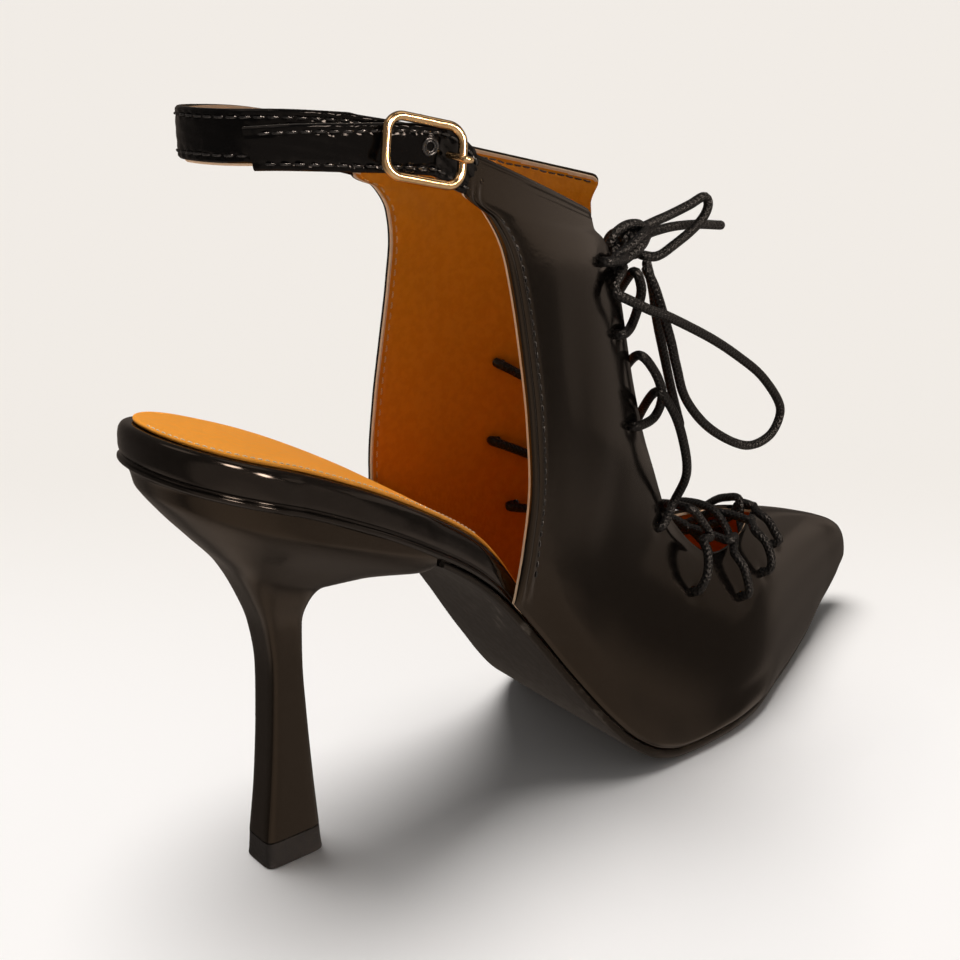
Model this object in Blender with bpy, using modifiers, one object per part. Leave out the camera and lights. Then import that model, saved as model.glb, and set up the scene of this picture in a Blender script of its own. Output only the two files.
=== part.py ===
"""Lace-up slingback shoe for the right foot: pointed toe, open back, high flared heel.

The shoe is worked out in millimetres from the back of the heel seat: x runs to the toe,
y to the inner side of the foot and z up from the floor. The finished parts hang on one
empty, which brings the middle of the shoe's footprint to the world origin, in metres.
"""
import math

import bmesh
import bpy
from mathutils import Vector

MM = 0.001
GAP = 0.3

# Driving sizes of the shoe
FOOTBED_LENGTH = 238.0
FOOTBED_END = 233.0
HEEL_BACK = -1.3
HEEL_ROUND = 21.0
TOE_ROUND = 12.0
WALL = 1.8
OUTSOLE_THICK = 3.2
OUTSOLE_START = 67.6
SEAT_DROP = 1.0
SOCK_THICK = 0.8
SOCK_END = 228.0
LACE_RADIUS = 1.2
LACE_HOLE_RADIUS = 1.75
STRAP_WIDTH = 10.2
BILLET_WIDTH = 9.4
BILLET_DROP = 0.75
STRAP_THICK = 1.6
BILLET_THICK = 1.5
BUCKLE_LENGTH = 19.0
BUCKLE_HEIGHT = 13.6
BUCKLE_DROP = 0.6
BUCKLE_WIRE = 0.9
BUCKLE_CORNER = 4.1
BUCKLE_TILT = 5.5
TOP_PIECE_HEIGHT = 6.6
HEEL_Y = -1.5

LATERAL = -1
MEDIAL = 1


def monotone_cubic(xs, ys, x):
    """Read a smooth curve through the rows, with no overshoot between them."""
    x = min(max(x, xs[0]), xs[-1])
    steps = [b - a for a, b in zip(xs, xs[1:])]
    rises = [(b - a) / h for a, b, h in zip(ys, ys[1:], steps)]
    slopes = [rises[0]]
    for before, after in zip(rises, rises[1:]):
        slopes.append(0.0 if before * after <= 0 else 2 * before * after / (before + after))
    slopes.append(rises[-1])
    i = max(k for k in range(len(steps)) if x >= xs[k])
    t = (x - xs[i]) / steps[i]
    start = ys[i] * (1 + 2 * t) * (1 - t) ** 2 + ys[i + 1] * t * t * (3 - 2 * t)
    return start + steps[i] * (slopes[i] * t * (1 - t) ** 2 - slopes[i + 1] * t * t * (1 - t))


class Table:
    """Rows with named columns. The first column is the place along the shoe."""

    def __init__(self, columns, rows):
        self.columns = dict(zip(columns.split(), zip(*rows)))
        self.places = [row[0] for row in rows]

    def at(self, column, place):
        return monotone_cubic(self.places, self.columns[column], place)

    def point(self, place):
        return Vector([self.at(axis, place) for axis in "xyz"])


# Height of the line where upper and sole meet, and the footbed's thickness above it
BOTTOM = Table("x feather thick", [
    (-2, 103.1, 10.0), (20, 95.4, 10.0), (40, 86.2, 10.0), (60, 74.2, 10.0),
    (72, 65.6, 10.0), (81, 57.2, 9.5), (90, 45.5, 8.0), (100, 30.6, 6.2),
    (108, 19.6, 5.2), (116, 11.0, 4.5), (124, 5.8, 4.0), (132, 3.5, 4.0),
    (140, 3.2, 4.0), (186, 3.2, 4.0), (205, 4.6, 4.0), (222, 8.4, 4.0),
    (238, 14.0, 4.0)])

# Plan outline of the footbed, out to each side of the heel's centre line
OUTLINE = Table("x lateral medial", [
    (25, -23.4, 22.6), (40, -25.0, 23.6), (55, -24.3, 23.6), (70, -21.6, 22.6),
    (82, -20.2, 22.2), (92, -21.6, 21.6), (102, -25.6, 21.6), (112, -29.4, 23.6),
    (124, -31.4, 28.0), (138, -31.6, 33.0), (150, -31.0, 35.2), (162, -28.6, 34.4),
    (181, -20.6, 28.4), (207, -9.2, 17.4), (226, -0.8, 9.8), (238, 2.4, 7.0)])

# Where each section of the upper starts on the sole, from the toe tip to the waist
SOLE_EDGE = Table("section lateral medial", [
    (0, 238.0, 238.0), (1, 237.4, 237.4), (2, 235.6, 235.6), (3, 232.0, 232.0),
    (4, 224.0, 224.0), (5, 212.0, 212.0), (6, 199.0, 199.0), (7, 187.0, 187.0),
    (8, 176.0, 176.0), (9, 165.0, 165.0), (10, 153.0, 152.0), (11, 139.0, 136.0),
    (12, 124.0, 118.0), (13, 108.0, 101.0), (14, 95.0, 86.6), (15, 83.0, 74.0)])

# Back edge of each side panel, from the waist up to the ankle strap
BACK_EDGE = {
    LATERAL: Table("section x y z", [
        (15, 83.0, -22.4, 55.4), (16, 84.8, -23.4, 69.0), (17, 85.8, -24.2, 84.0),
        (18, 84.4, -24.6, 101.0), (19, 81.6, -25.0, 118.0), (20, 78.6, -25.4, 132.0),
        (21, 75.6, -25.8, 142.0), (22, 70.2, -26.6, 150.2), (23, 63.6, -27.6, 156.2),
        (24, 65.4, -27.2, 163.8)]),
    MEDIAL: Table("section x y z", [
        (15, 74.0, 24.6, 64.3), (16, 74.2, 24.9, 79.0), (17, 76.0, 25.3, 95.0),
        (18, 78.6, 25.6, 110.0), (19, 81.0, 25.8, 124.0), (20, 82.0, 25.6, 134.0),
        (21, 81.2, 25.4, 141.0), (22, 78.0, 25.4, 147.0), (23, 72.4, 25.6, 151.2),
        (24, 73.4, 25.2, 160.8)])}

# Instep line that both sides of the upper climb towards
RIDGE = {
    LATERAL: Table("section x y z", [
        (0, 239.9, 4.5, 19.5), (1, 239.0, 4.5, 22.4), (2, 236.8, 4.4, 25.6), (3, 232.6, 4.3, 28.8),
        (4, 225.4, 4.1, 32.4), (5, 215.0, 3.7, 36.6), (6, 205.0, 3.2, 40.2), (7, 196.0, 2.7, 43.0),
        (8, 189.0, 2.2, 44.9), (9, 182.0, 1.6, 46.6), (10, 175.0, 1.0, 48.0), (11, 169.0, 0.4, 49.2),
        (12, 164.0, 0.0, 51.0), (13, 160.0, 0.0, 53.6), (14, 157.5, 0.0, 57.4), (15, 154.5, 0.0, 62.8),
        (16, 149.0, 0.0, 73.0), (17, 142.0, 0.0, 87.0), (18, 137.4, 0.0, 102.0),
        (19, 134.8, 0.0, 116.0), (20, 133.2, 0.0, 126.4), (21, 132.8, -0.4, 130.4),
        (22, 132.8, -0.6, 132.0), (23, 132.8, -0.8, 133.0), (24, 132.8, -1.0, 133.8)]),
    MEDIAL: Table("section x y z", [
        (0, 239.9, 4.5, 19.5), (1, 239.0, 4.5, 22.4), (2, 236.8, 4.4, 25.6), (3, 232.6, 4.3, 28.8),
        (4, 225.4, 4.1, 32.4), (5, 215.0, 3.7, 36.6), (6, 205.0, 3.2, 40.2), (7, 196.0, 2.7, 43.0),
        (8, 189.0, 2.2, 44.9), (9, 182.0, 1.6, 46.6), (10, 175.0, 1.0, 48.0), (11, 169.0, 0.4, 49.2),
        (12, 165.0, 0.0, 51.0), (13, 161.5, 0.0, 53.6), (14, 159.0, 0.0, 57.4), (15, 156.4, 0.0, 62.8),
        (16, 152.4, 0.0, 74.0), (17, 148.6, 0.0, 88.0), (18, 145.6, 0.0, 102.0),
        (19, 142.8, 0.0, 116.0), (20, 140.4, 0.0, 128.0), (21, 139.0, 0.0, 135.0),
        (22, 138.0, 0.0, 139.0), (23, 137.4, 0.0, 142.0), (24, 137.0, 0.0, 144.6)])}

# How far each section bulges, and the share of its arch that the throat leaves standing
PANEL = Table("section full_lat throat_lat full_med throat_med", [
    (0, 0.70, 1.00, 0.70, 1.00), (3, 0.66, 1.00, 0.66, 1.00), (6, 0.58, 1.00, 0.60, 1.00),
    (7, 0.56, 1.00, 0.58, 1.00), (8, 0.55, 0.90, 0.57, 0.90), (9, 0.54, 0.80, 0.56, 0.80),
    (10, 0.53, 0.74, 0.55, 0.74), (12, 0.52, 0.68, 0.54, 0.68), (15, 0.54, 0.65, 0.55, 0.65),
    (17, 0.54, 0.64, 0.55, 0.66), (19, 0.46, 0.62, 0.54, 0.70), (21, 0.38, 0.57, 0.52, 0.75),
    (24, 0.32, 0.51, 0.54, 0.78)])
WAIST_SECTION = 15
TOP_SECTION = 24
SECTION_STEP = 0.5
ARCH_STEPS = 8
FLARE = 1.02

# Lace holes, from the throat's end up to the top of the side panels
LACE_HOLES = Table("pair section_lat share_lat section_med share_med slack", [
    (1, 7.7, 0.64, 7.7, 0.64, 0.3), (2, 9.1, 0.55, 9.1, 0.55, 0.3), (3, 10.5, 0.50, 10.5, 0.50, 0.3),
    (4, 12.7, 0.50, 12.9, 0.46, 0.6), (5, 14.7, 0.55, 14.5, 0.36, 3.6), (6, 17.2, 0.53, 16.1, 0.36, 3.0),
    (7, 18.8, 0.52, 17.5, 0.38, 1.6), (8, 20.6, 0.49, 19.4, 0.48, 1.0)])

# Heel block, from the seat down to the top piece
HEEL = Table("level back_x back_z front_x front_z half round_back round_front", [
    (0, -0.2, 102.0, 66.8, 75.4, 22.0, 2.2, 8.0), (1, 0.8, 98.6, 66.6, 71.6, 21.6, 2.2, 8.0),
    (2, 5.6, 91.6, 60.8, 67.8, 17.4, 2.4, 6.0), (3, 11.6, 84.4, 49.4, 68.4, 13.0, 2.8, 4.0),
    (4, 17.8, 76.8, 40.0, 68.4, 9.4, 3.4, 4.0), (5, 21.9, 68.6, 35.5, 65.2, 6.8, 4.6, 5.0),
    (6, 24.7, 60.0, 34.2, 60.2, 5.2, 6.0, 6.0), (7, 25.7, 50.0, 34.2, 50.0, 4.6, 6.0, 6.0),
    (8, 25.1, 37.0, 34.8, 37.0, 4.5, 6.0, 6.0), (9, 23.7, 21.0, 35.8, 21.0, 4.6, 6.0, 6.0),
    (10, 21.9, 6.9, 36.8, 6.9, 5.0, 6.0, 6.0)])
HEEL_POINTS = 24

# Inner face of the ankle strap's loop, from the medial panel round the back to the lateral one
ANKLE = [
    (71.6, 23.7, 156.4), (58.0, 24.6, 160.0), (42.0, 21.8, 164.0), (27.2, 14.8, 167.2),
    (18.4, 4.4, 169.0), (19.0, -8.2, 170.0), (27.6, -18.2, 169.8), (40.0, -23.4, 168.8),
    (51.0, -25.5, 167.4), (57.4, -25.9, 165.8), (63.6, -25.7, 161.8)]
BUCKLE_PLACE = 8.0
SLING_END_SHORT = 0.14
BILLET_TAIL_PLACE = 5.5
BILLET_ROOT_PLACE = 9.96
BILLET_LAYER = 2.0
FRAME_LAYER = 5.0

# Routes of the bow's cords, each from the knot outwards
KNOT = Vector((126.6, -8.6, 132.8))
KNOT_SIZE = Vector((5.6, 4.6, 4.2))
KNOT_REACH = 6.4
LACE_CLEAR = 0.6
LACE_CROSS_OVER = 4.8
LACE_CROSS_UNDER = 1.6
LACE_SPACING = 7.0
BOW_SPACING = 5.0
LOOP_LARGE = [
    (122.8, -13.0, 128.8), (118.4, -16.8, 128.8), (114.6, -18.8, 127.2), (114.4, -19.8, 125.2),
    (117.6, -20.2, 123.4), (125.2, -20.4, 119.5), (132.8, -19.6, 116.2), (150.2, -17.2, 107.2),
    (162.2, -16.2, 99.8), (171.7, -16.0, 92.8), (179.2, -16.0, 84.4), (180.4, -16.0, 79.4),
    (176.3, -16.0, 74.6), (166.9, -16.0, 74.4), (153.2, -16.0, 82.2), (143.6, -16.0, 92.2),
    (139.6, -15.8, 102.0), (137.6, -15.2, 109.2), (133.0, -14.2, 121.6), (130.6, -13.0, 127.0)]
LOOP_SMALL = [
    (132.4, -7.8, 135.6), (137.6, -8.0, 136.8), (143.0, -8.0, 137.8), (149.9, -8.0, 139.4),
    (154.4, -8.2, 140.8), (155.8, -8.6, 139.0), (154.4, -8.8, 136.2), (150.4, -9.0, 133.4),
    (144.0, -9.0, 130.4), (138.2, -9.0, 128.4), (133.0, -8.8, 129.4)]
END_SHORT = [
    (132.3, -6.8, 132.3), (138.4, -5.2, 133.2), (147.0, -4.6, 133.6), (156.0, -4.6, 133.0),
    (165.2, -4.6, 131.5)]
END_LONG = [
    (132.2, -11.4, 128.0), (134.6, -11.4, 121.4), (136.8, -11.2, 113.0), (140.3, -11.2, 102.2),
    (143.4, -11.2, 93.0), (147.0, -11.2, 83.5)]

BLACK = (0.012, 0.011, 0.011, 1.0)
BLACK_RUBBER = (0.02, 0.02, 0.02, 1.0)
OCHRE = (0.60, 0.24, 0.035, 1.0)
GOLD = (0.83, 0.62, 0.32, 1.0)


def make_material(name, colour, roughness, metallic=0.0):
    material = bpy.data.materials.new(name)
    material.use_nodes = True
    shader = material.node_tree.nodes["Principled BSDF"]
    shader.inputs["Base Color"].default_value = colour
    shader.inputs["Roughness"].default_value = roughness
    shader.inputs["Metallic"].default_value = metallic
    return material


def make_collection(name):
    collection = bpy.data.collections.new(name)
    bpy.context.scene.collection.children.link(collection)
    return collection


def add_mesh(name, points, faces, collection, material=None):
    """Make a mesh object from points in millimetres, weld it and turn its faces outward."""
    mesh = bpy.data.meshes.new(name)
    mesh.from_pydata([Vector(p) * MM for p in points], [], faces)
    sheet = bmesh.new()
    sheet.from_mesh(mesh)
    bmesh.ops.remove_doubles(sheet, verts=sheet.verts, dist=0.01 * MM)
    bmesh.ops.dissolve_degenerate(sheet, edges=sheet.edges, dist=0.005 * MM)
    bmesh.ops.recalc_face_normals(sheet, faces=sheet.faces)
    sheet.to_mesh(mesh)
    sheet.free()
    mesh.shade_smooth()
    if material:
        mesh.materials.append(material)
    piece = bpy.data.objects.new(name, mesh)
    collection.objects.link(piece)
    return piece


def loft(name, rings, collection, material, cap_start=True, cap_end=True):
    """Skin closed rings of equally many points. Caps join each point to its mirror point."""
    count = len(rings[0])
    points = [p for ring in rings for p in ring]
    faces = []
    for k in range(len(rings) - 1):
        for i in range(count):
            j = (i + 1) % count
            faces.append((k * count + i, k * count + j, (k + 1) * count + j, (k + 1) * count + i))
    for wanted, base in ((cap_start, 0), (cap_end, (len(rings) - 1) * count)):
        if wanted:
            for i in range(count // 2 - 1):
                faces.append((base + i, base + i + 1, base + count - 2 - i, base + count - 1 - i))
    return add_mesh(name, points, faces, collection, material)


def curve_between(before, start, end, after, t):
    """Point on the smooth curve from start to end, with its neighbours before and after."""
    bend = (2 * before - 5 * start + 4 * end - after) * t * t
    bend += (3 * start - before - 3 * end + after) * t ** 3
    return start + ((end - before) * t + bend) / 2


def curve_through(points, count):
    """Smooth curve through a route's own points, with count(start, end) steps to each span."""
    route = [Vector(p) for p in points]
    ends = [2 * route[0] - route[1]] + route + [2 * route[-1] - route[-2]]
    curve = []
    for span in zip(ends, ends[1:], ends[2:], ends[3:]):
        steps = count(span[1], span[2])
        curve += [curve_between(*span, step / steps) for step in range(steps)]
    return curve + [route[-1]]


def smooth_route(points, spacing):
    """Read evenly spaced points from a smooth curve through a route's own points."""
    dense = curve_through(points, lambda start, end: 12)
    lengths = [0.0]
    for before, after in zip(dense, dense[1:]):
        lengths.append(lengths[-1] + (after - before).length)
    count = max(2, round(lengths[-1] / spacing))
    even = []
    k = 0
    for step in range(count + 1):
        target = lengths[-1] * step / count
        while k < len(lengths) - 2 and lengths[k + 1] < target:
            k += 1
        share = (target - lengths[k]) / max(lengths[k + 1] - lengths[k], 1e-9)
        even.append(dense[k].lerp(dense[k + 1], share))
    return even


def add_tube(name, route, radius, collection, material, cyclic=False, roundness=2):
    """Lay a round cord or wire along a route, as a curve with filled ends."""
    curve = bpy.data.curves.new(name, "CURVE")
    curve.dimensions = "3D"
    curve.bevel_depth = radius * MM
    curve.bevel_resolution = roundness
    curve.use_fill_caps = True
    spline = curve.splines.new("POLY")
    spline.points.add(len(route) - 1)
    for place, point in zip(spline.points, route):
        place.co = (*(Vector(point) * MM), 1.0)
    spline.use_cyclic_u = cyclic
    curve.materials.append(material)
    tube = bpy.data.objects.new(name, curve)
    collection.objects.link(tube)
    return tube


def tube_to_mesh(tube):
    """Turn a tube into a closed mesh object that can be cut or joined."""
    bpy.context.view_layer.update()
    evaluated = tube.evaluated_get(bpy.context.evaluated_depsgraph_get())
    mesh = bpy.data.meshes.new_from_object(evaluated)
    sheet = bmesh.new()
    sheet.from_mesh(mesh)
    bmesh.ops.remove_doubles(sheet, verts=sheet.verts, dist=0.001 * MM)
    bmesh.ops.recalc_face_normals(sheet, faces=sheet.faces)
    sheet.to_mesh(mesh)
    sheet.free()
    name = tube.name
    solid = bpy.data.objects.new(name, mesh)
    solid.matrix_world = tube.matrix_world
    tube.users_collection[0].objects.link(solid)
    bpy.data.objects.remove(tube)
    solid.name = name
    return solid


def hide_cutter(cutter):
    cutter.hide_render = True
    cutter.display_type = "WIRE"


# Plan outline and heights of the footbed


def feather(x):
    return BOTTOM.at("feather", x)


def seat_height(p):
    """Footbed's thickness at a point in plan, a little less on the inner side of the heel seat."""
    fade = 1 - monotone_cubic([40, 80], [0, 1], p.x)
    return BOTTOM.at("thick", p.x) - SEAT_DROP * fade * max(p.y / OUTLINE.at("medial", p.x), 0.0)


def end_round(x):
    """Share of the full width that the round heel and the toe tip leave at x."""
    share = 1.0
    if x < HEEL_ROUND:
        share = 1 - ((HEEL_ROUND - x) / (HEEL_ROUND - HEEL_BACK)) ** 2
    elif x > FOOTBED_LENGTH - TOE_ROUND:
        share = 1 - ((x - FOOTBED_LENGTH + TOE_ROUND) / TOE_ROUND) ** 2
    return math.sqrt(max(share, 0.0))


def outline_point(side, x):
    lateral = OUTLINE.at("lateral", x)
    medial = OUTLINE.at("medial", x)
    middle = (lateral + medial) / 2
    if x < HEEL_ROUND:
        middle *= (x - HEEL_BACK) / (HEEL_ROUND - HEEL_BACK)
    half = (medial - lateral) / 2 * end_round(x)
    return Vector((x, middle + side * half, 0.0))


def outline_offset(side, x, out):
    """Point at a distance out from the footbed's outline, square to it, in plan."""
    step = 0.05
    low = max(x - step, HEEL_BACK)
    high = min(x + step, FOOTBED_LENGTH)
    along = outline_point(side, high) - outline_point(side, low)
    if x < HEEL_BACK + step:
        square = Vector((-1.0, 0.0, 0.0))
    elif x > FOOTBED_LENGTH - step:
        square = Vector((1.0, 0.0, 0.0))
    else:
        square = Vector((-side * along.y, side * along.x, 0.0)).normalized()
    return outline_point(side, x) + square * out


def stations(start, end):
    """Places along the sole, closer together round the heel and the toe."""
    reach = HEEL_ROUND - HEEL_BACK
    places = [HEEL_ROUND - reach * math.cos(math.radians(a)) for a in range(0, 90, 15)]
    middle = [28, 36, 44, 52, 60, 66, 72, 77, 81, 85, 89, 93, 97, 101, 105, 109, 113, 117, 121,
              125, 130, 136, 143, 152, 162, 172, 182, 194, 206, 216]
    toe = [FOOTBED_LENGTH - TOE_ROUND * (1 - math.sin(math.radians(a))) for a in range(0, 91, 15)]
    inside = [x for x in places + [HEEL_ROUND] + middle + toe if start < x < end]
    return [start] + inside + [end]


def build_footbed(collection, material):
    """Insole board with its wrapped rim, thick at the open back and thin inside the upper."""
    rim = [(0.9, 0.0), (0.15, 0.16), (0.0, 0.5), (0.3, 0.84), (1.4, 1.0)]
    roll = Table("x share", [(0, 1.0), (78, 1.0), (100, 0.08), (FOOTBED_LENGTH, 0.08)])
    inside = Table("x inset", [
        (0, 0.0), (74, 0.0), (90, 2.0), (126, 2.0), (150, 1.0), (FOOTBED_LENGTH, 0.8)])
    rings = []
    for x in stations(HEEL_BACK, FOOTBED_END):
        sides = {}
        for side in (LATERAL, MEDIAL):
            row = []
            for inset, rise in rim:
                inward = inset * roll.at("share", x) + inside.at("inset", x)
                p = outline_offset(side, x, -inward)
                p.z = feather(p.x) + GAP + rise * (seat_height(p) - GAP)
                row.append(p)
            sides[side] = row
        top = [sides[LATERAL][-1].lerp(sides[MEDIAL][-1], share) for share in (0.33, 0.67)]
        base = [sides[MEDIAL][0].lerp(sides[LATERAL][0], share) for share in (0.33, 0.67)]
        for p in top:
            p.z = feather(p.x) + seat_height(p)
        for p in base:
            p.z = feather(p.x) + GAP
        rings.append(base[1:] + sides[LATERAL] + top + sides[MEDIAL][::-1] + base[:1])
    return loft("footbed", rings, collection, material, cap_start=False)


def build_sheet(name, start, end, out, low, high, collection, material):
    """Flat layer of the sole between two heights, with its edge at a distance from the outline."""
    rings = []
    for x in stations(start, end):
        ring = []
        for rise, order in ((low, (1.0, 0.67, 0.33, 0.0)), (high, (0.0, 0.33, 0.67, 1.0))):
            left = outline_offset(LATERAL, x, out(x))
            right = outline_offset(MEDIAL, x, out(x))
            for share in order:
                p = left.lerp(right, share)
                p.z = feather(p.x) + rise(p)
                ring.append(p)
        rings.append(ring)
    return loft(name, rings, collection, material, start > HEEL_BACK, end < FOOTBED_LENGTH)


def build_sock(collection, material):
    edge = Table("x out", [(0, -2.6), (74, -2.6), (90, -4.4), (126, -4.4), (150, -3.4), (SOCK_END, -2.6)])

    def out(x):
        return edge.at("out", x)

    def top(p):
        return seat_height(p) + GAP + SOCK_THICK

    def base(p):
        return seat_height(p) + GAP

    return build_sheet("sock", HEEL_BACK, SOCK_END, out, base, top, collection, material)


def build_outsole(collection, material):
    edge = Table("x out", [(OUTSOLE_START, -1.2), (78, -1.0), (96, 1.1), (FOOTBED_LENGTH, 1.1)])

    def out(x):
        return edge.at("out", x)

    def top(p):
        return 0.0

    def base(p):
        return -OUTSOLE_THICK

    return build_sheet("outsole", OUTSOLE_START, FOOTBED_LENGTH, out, base, top, collection, material)


# Upper: one wall on the last's own surface


def upper_edge(side, section):
    """Lower or back edge of the upper's outer face at a section."""
    if section > WAIST_SECTION:
        return BACK_EDGE[side].point(section)
    x = SOLE_EDGE.at("lateral" if side == LATERAL else "medial", section)
    p = outline_offset(side, x, GAP + WALL)
    inner = outline_offset(side, x, -GAP)
    p.z = max(feather(p.x), feather(inner.x)) + 2 * GAP
    return p


def arch_point(side, section, share):
    """Point on the upper's outer face: share 0 is its edge and 1 the instep line."""
    edge = upper_edge(side, section)
    ridge = RIDGE[side].point(section)
    corner = Vector((ridge.x, ridge.y + (edge.y - ridge.y) * FLARE, ridge.z))
    full = PANEL.at("full_lat" if side == LATERAL else "full_med", section)
    a = (1 - share) ** 2
    b = 2 * full * share * (1 - share)
    c = share ** 2
    return (edge * a + corner * b + ridge * c) / (a + b + c)


def arch_normal(side, section, share):
    step = 0.02
    along = arch_point(side, min(section + step, TOP_SECTION), share)
    along -= arch_point(side, section - step, share)
    across = arch_point(side, section, share + step) - arch_point(side, section, share - step)
    return (along.cross(across) * side).normalized()


def throat_share(side, section):
    return PANEL.at("throat_lat" if side == LATERAL else "throat_med", section)


def build_upper(collection, cutters, material):
    """Hollow wall of toe, vamp and side panels, with the throat open and the lace holes cut."""
    sections = [k * SECTION_STEP for k in range(int(TOP_SECTION / SECTION_STEP) + 1)]
    points = []
    faces = []
    for side in (LATERAL, MEDIAL):
        first = len(points)
        for section in sections:
            end = throat_share(side, section)
            for step in range(ARCH_STEPS + 1):
                points.append(arch_point(side, section, end * step / ARCH_STEPS))
        width = ARCH_STEPS + 1
        for k in range(len(sections) - 1):
            for i in range(ARCH_STEPS):
                a = first + k * width + i
                faces.append((a, a + 1, a + width + 1, a + width))
    upper = add_mesh("upper", points, faces, collection, material)
    turn_outward(upper)
    wall = upper.modifiers.new("Wall", "SOLIDIFY")
    wall.thickness = WALL * MM
    wall.offset = -1.0
    wall.use_even_offset = True
    holes = upper.modifiers.new("Lace holes", "BOOLEAN")
    holes.operation = "DIFFERENCE"
    holes.object = build_hole_cutter(cutters)
    return upper


def turn_outward(sheet):
    """Turn an open sheet's faces so that the toe's top faces up."""
    mesh = sheet.data
    top = max(mesh.polygons, key=lambda face: face.center.x + face.center.z)
    if top.normal.x + top.normal.z < 0:
        mesh.flip_normals()


def hole_place(side, pair):
    name = "lat" if side == LATERAL else "med"
    section = LACE_HOLES.at("section_" + name, pair)
    share = LACE_HOLES.at("share_" + name, pair)
    return section, share


def build_hole_cutter(cutters):
    """Round punches through the wall, one for each lace hole, in one cutter."""
    sheet = bmesh.new()
    for side in (LATERAL, MEDIAL):
        for pair in range(1, len(LACE_HOLES.places) + 1):
            section, share = hole_place(side, pair)
            middle = arch_point(side, section, share)
            normal = arch_normal(side, section, share)
            turn = Vector((0, 0, 1)).rotation_difference(normal).to_matrix().to_4x4()
            turn.translation = (middle - normal * WALL / 2) * MM
            bmesh.ops.create_cone(sheet, cap_ends=True, segments=10, radius1=LACE_HOLE_RADIUS * MM,
                                  radius2=LACE_HOLE_RADIUS * MM, depth=3 * WALL * MM, matrix=turn)
    mesh = bpy.data.meshes.new("lace_hole_punches")
    sheet.to_mesh(mesh)
    sheet.free()
    cutter = bpy.data.objects.new("lace_hole_punches", mesh)
    cutters.objects.link(cutter)
    hide_cutter(cutter)
    return cutter


# Heel


def heel_ring(row, level):
    """Section of the heel: back and front halves are superellipses of their own squareness."""
    middle = (row["back_x"] + row["front_x"]) / 2
    reach = (row["front_x"] - row["back_x"]) / 2
    shift = HEEL_Y * min(1.0, level / 5)
    ring = []
    for k in range(HEEL_POINTS):
        angle = 2 * math.pi * (k + 0.5) / HEEL_POINTS
        power = 2 / (row["round_front"] if math.cos(angle) > 0 else row["round_back"])
        x = middle + reach * math.copysign(abs(math.cos(angle)) ** power, math.cos(angle))
        y = row["half"] * math.copysign(abs(math.sin(angle)) ** power, math.sin(angle))
        run = (x - row["back_x"]) / (row["front_x"] - row["back_x"])
        flat = row["back_z"] + (row["front_z"] - row["back_z"]) * run
        z = feather(x) + (flat - feather(x)) * min(1.0, level)
        ring.append(Vector((x, y + shift, z)))
    return ring


def build_heel(collection, material):
    """Heel block: its seat follows the footbed, its stem is slim and square and flares to the tip."""
    levels = [k / 2 for k in range(14)] + [7, 8, 9, 10]
    rings = []
    for level in levels:
        row = {name: HEEL.at(name, level) for name in HEEL.columns}
        rings.append(heel_ring(row, level))
    return loft("heel", rings, collection, material)


def build_top_piece(collection, material):
    """Wearing tip under the heel, flat on the floor."""
    last = HEEL.places[-1]
    row = {name: HEEL.at(name, last) for name in HEEL.columns}
    rings = []
    for height, grow in ((TOP_PIECE_HEIGHT, 0.0), (0.4, 0.5), (0.0, 0.2)):
        grown = dict(row, back_x=row["back_x"] - grow, front_x=row["front_x"] + grow,
                     half=row["half"] + grow, back_z=height, front_z=height)
        rings.append(heel_ring(grown, last))
    return loft("top_piece", rings, collection, material)


# Ankle strap and buckle


def ankle_frame(place):
    """Point on the strap loop's inner face, with its directions along, up and out."""
    def at(value):
        k = min(max(int(value), 0), len(ANKLE) - 2)
        t = value - k
        b, c = Vector(ANKLE[k]), Vector(ANKLE[k + 1])
        a = Vector(ANKLE[k - 1]) if k > 0 else 2 * b - c
        d = Vector(ANKLE[k + 2]) if k + 2 < len(ANKLE) else 2 * c - b
        return curve_between(a, b, c, d, t)

    step = 0.01
    along = (at(place + step) - at(place - step)).normalized()
    out = along.cross(Vector((0, 0, 1))).normalized()
    return at(place), along, out.cross(along), out


def band_ring(place, layer, thick, half, drop=0.0):
    point, _, up, out = ankle_frame(place)
    inner = point + out * layer - up * drop
    outer = inner + out * thick
    return [inner - up * half, inner + up * half, outer + up * half, outer - up * half]


def build_sling(collection, material):
    """Strap from the medial panel round the back of the ankle to the buckle's bar."""
    last = BUCKLE_PLACE - SLING_END_SHORT
    count = 34
    places = [last * k / count for k in range(count + 1)]
    rings = [band_ring(place, 0.0, STRAP_THICK, STRAP_WIDTH / 2) for place in places]
    return loft("sling_strap", rings, collection, material)


def build_billet(collection, material):
    """Strap end that leaves the lateral panel, runs through the buckle and lies on the sling."""
    rise = Table("place layer", [
        (BILLET_TAIL_PLACE, BILLET_LAYER), (BUCKLE_PLACE + 0.4, BILLET_LAYER),
        (BUCKLE_PLACE + 1.1, 1.2), (BILLET_ROOT_PLACE, 0.1)])
    count = 28
    rings = []
    for k in range(count + 1):
        place = BILLET_TAIL_PLACE + (BILLET_ROOT_PLACE - BILLET_TAIL_PLACE) * k / count
        layer = rise.at("layer", place)
        rings.append(band_ring(place, layer, BILLET_THICK, BILLET_WIDTH / 2, BILLET_DROP))
    return loft("billet", rings, collection, material)


def buckle_point(along, up, layer):
    point, ahead, over, out = ankle_frame(BUCKLE_PLACE)
    tilt = math.radians(BUCKLE_TILT)
    across = along * math.cos(tilt) + up * math.sin(tilt)
    rise = up * math.cos(tilt) - along * math.sin(tilt) - BUCKLE_DROP
    return point + ahead * across + over * rise + out * layer


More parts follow.
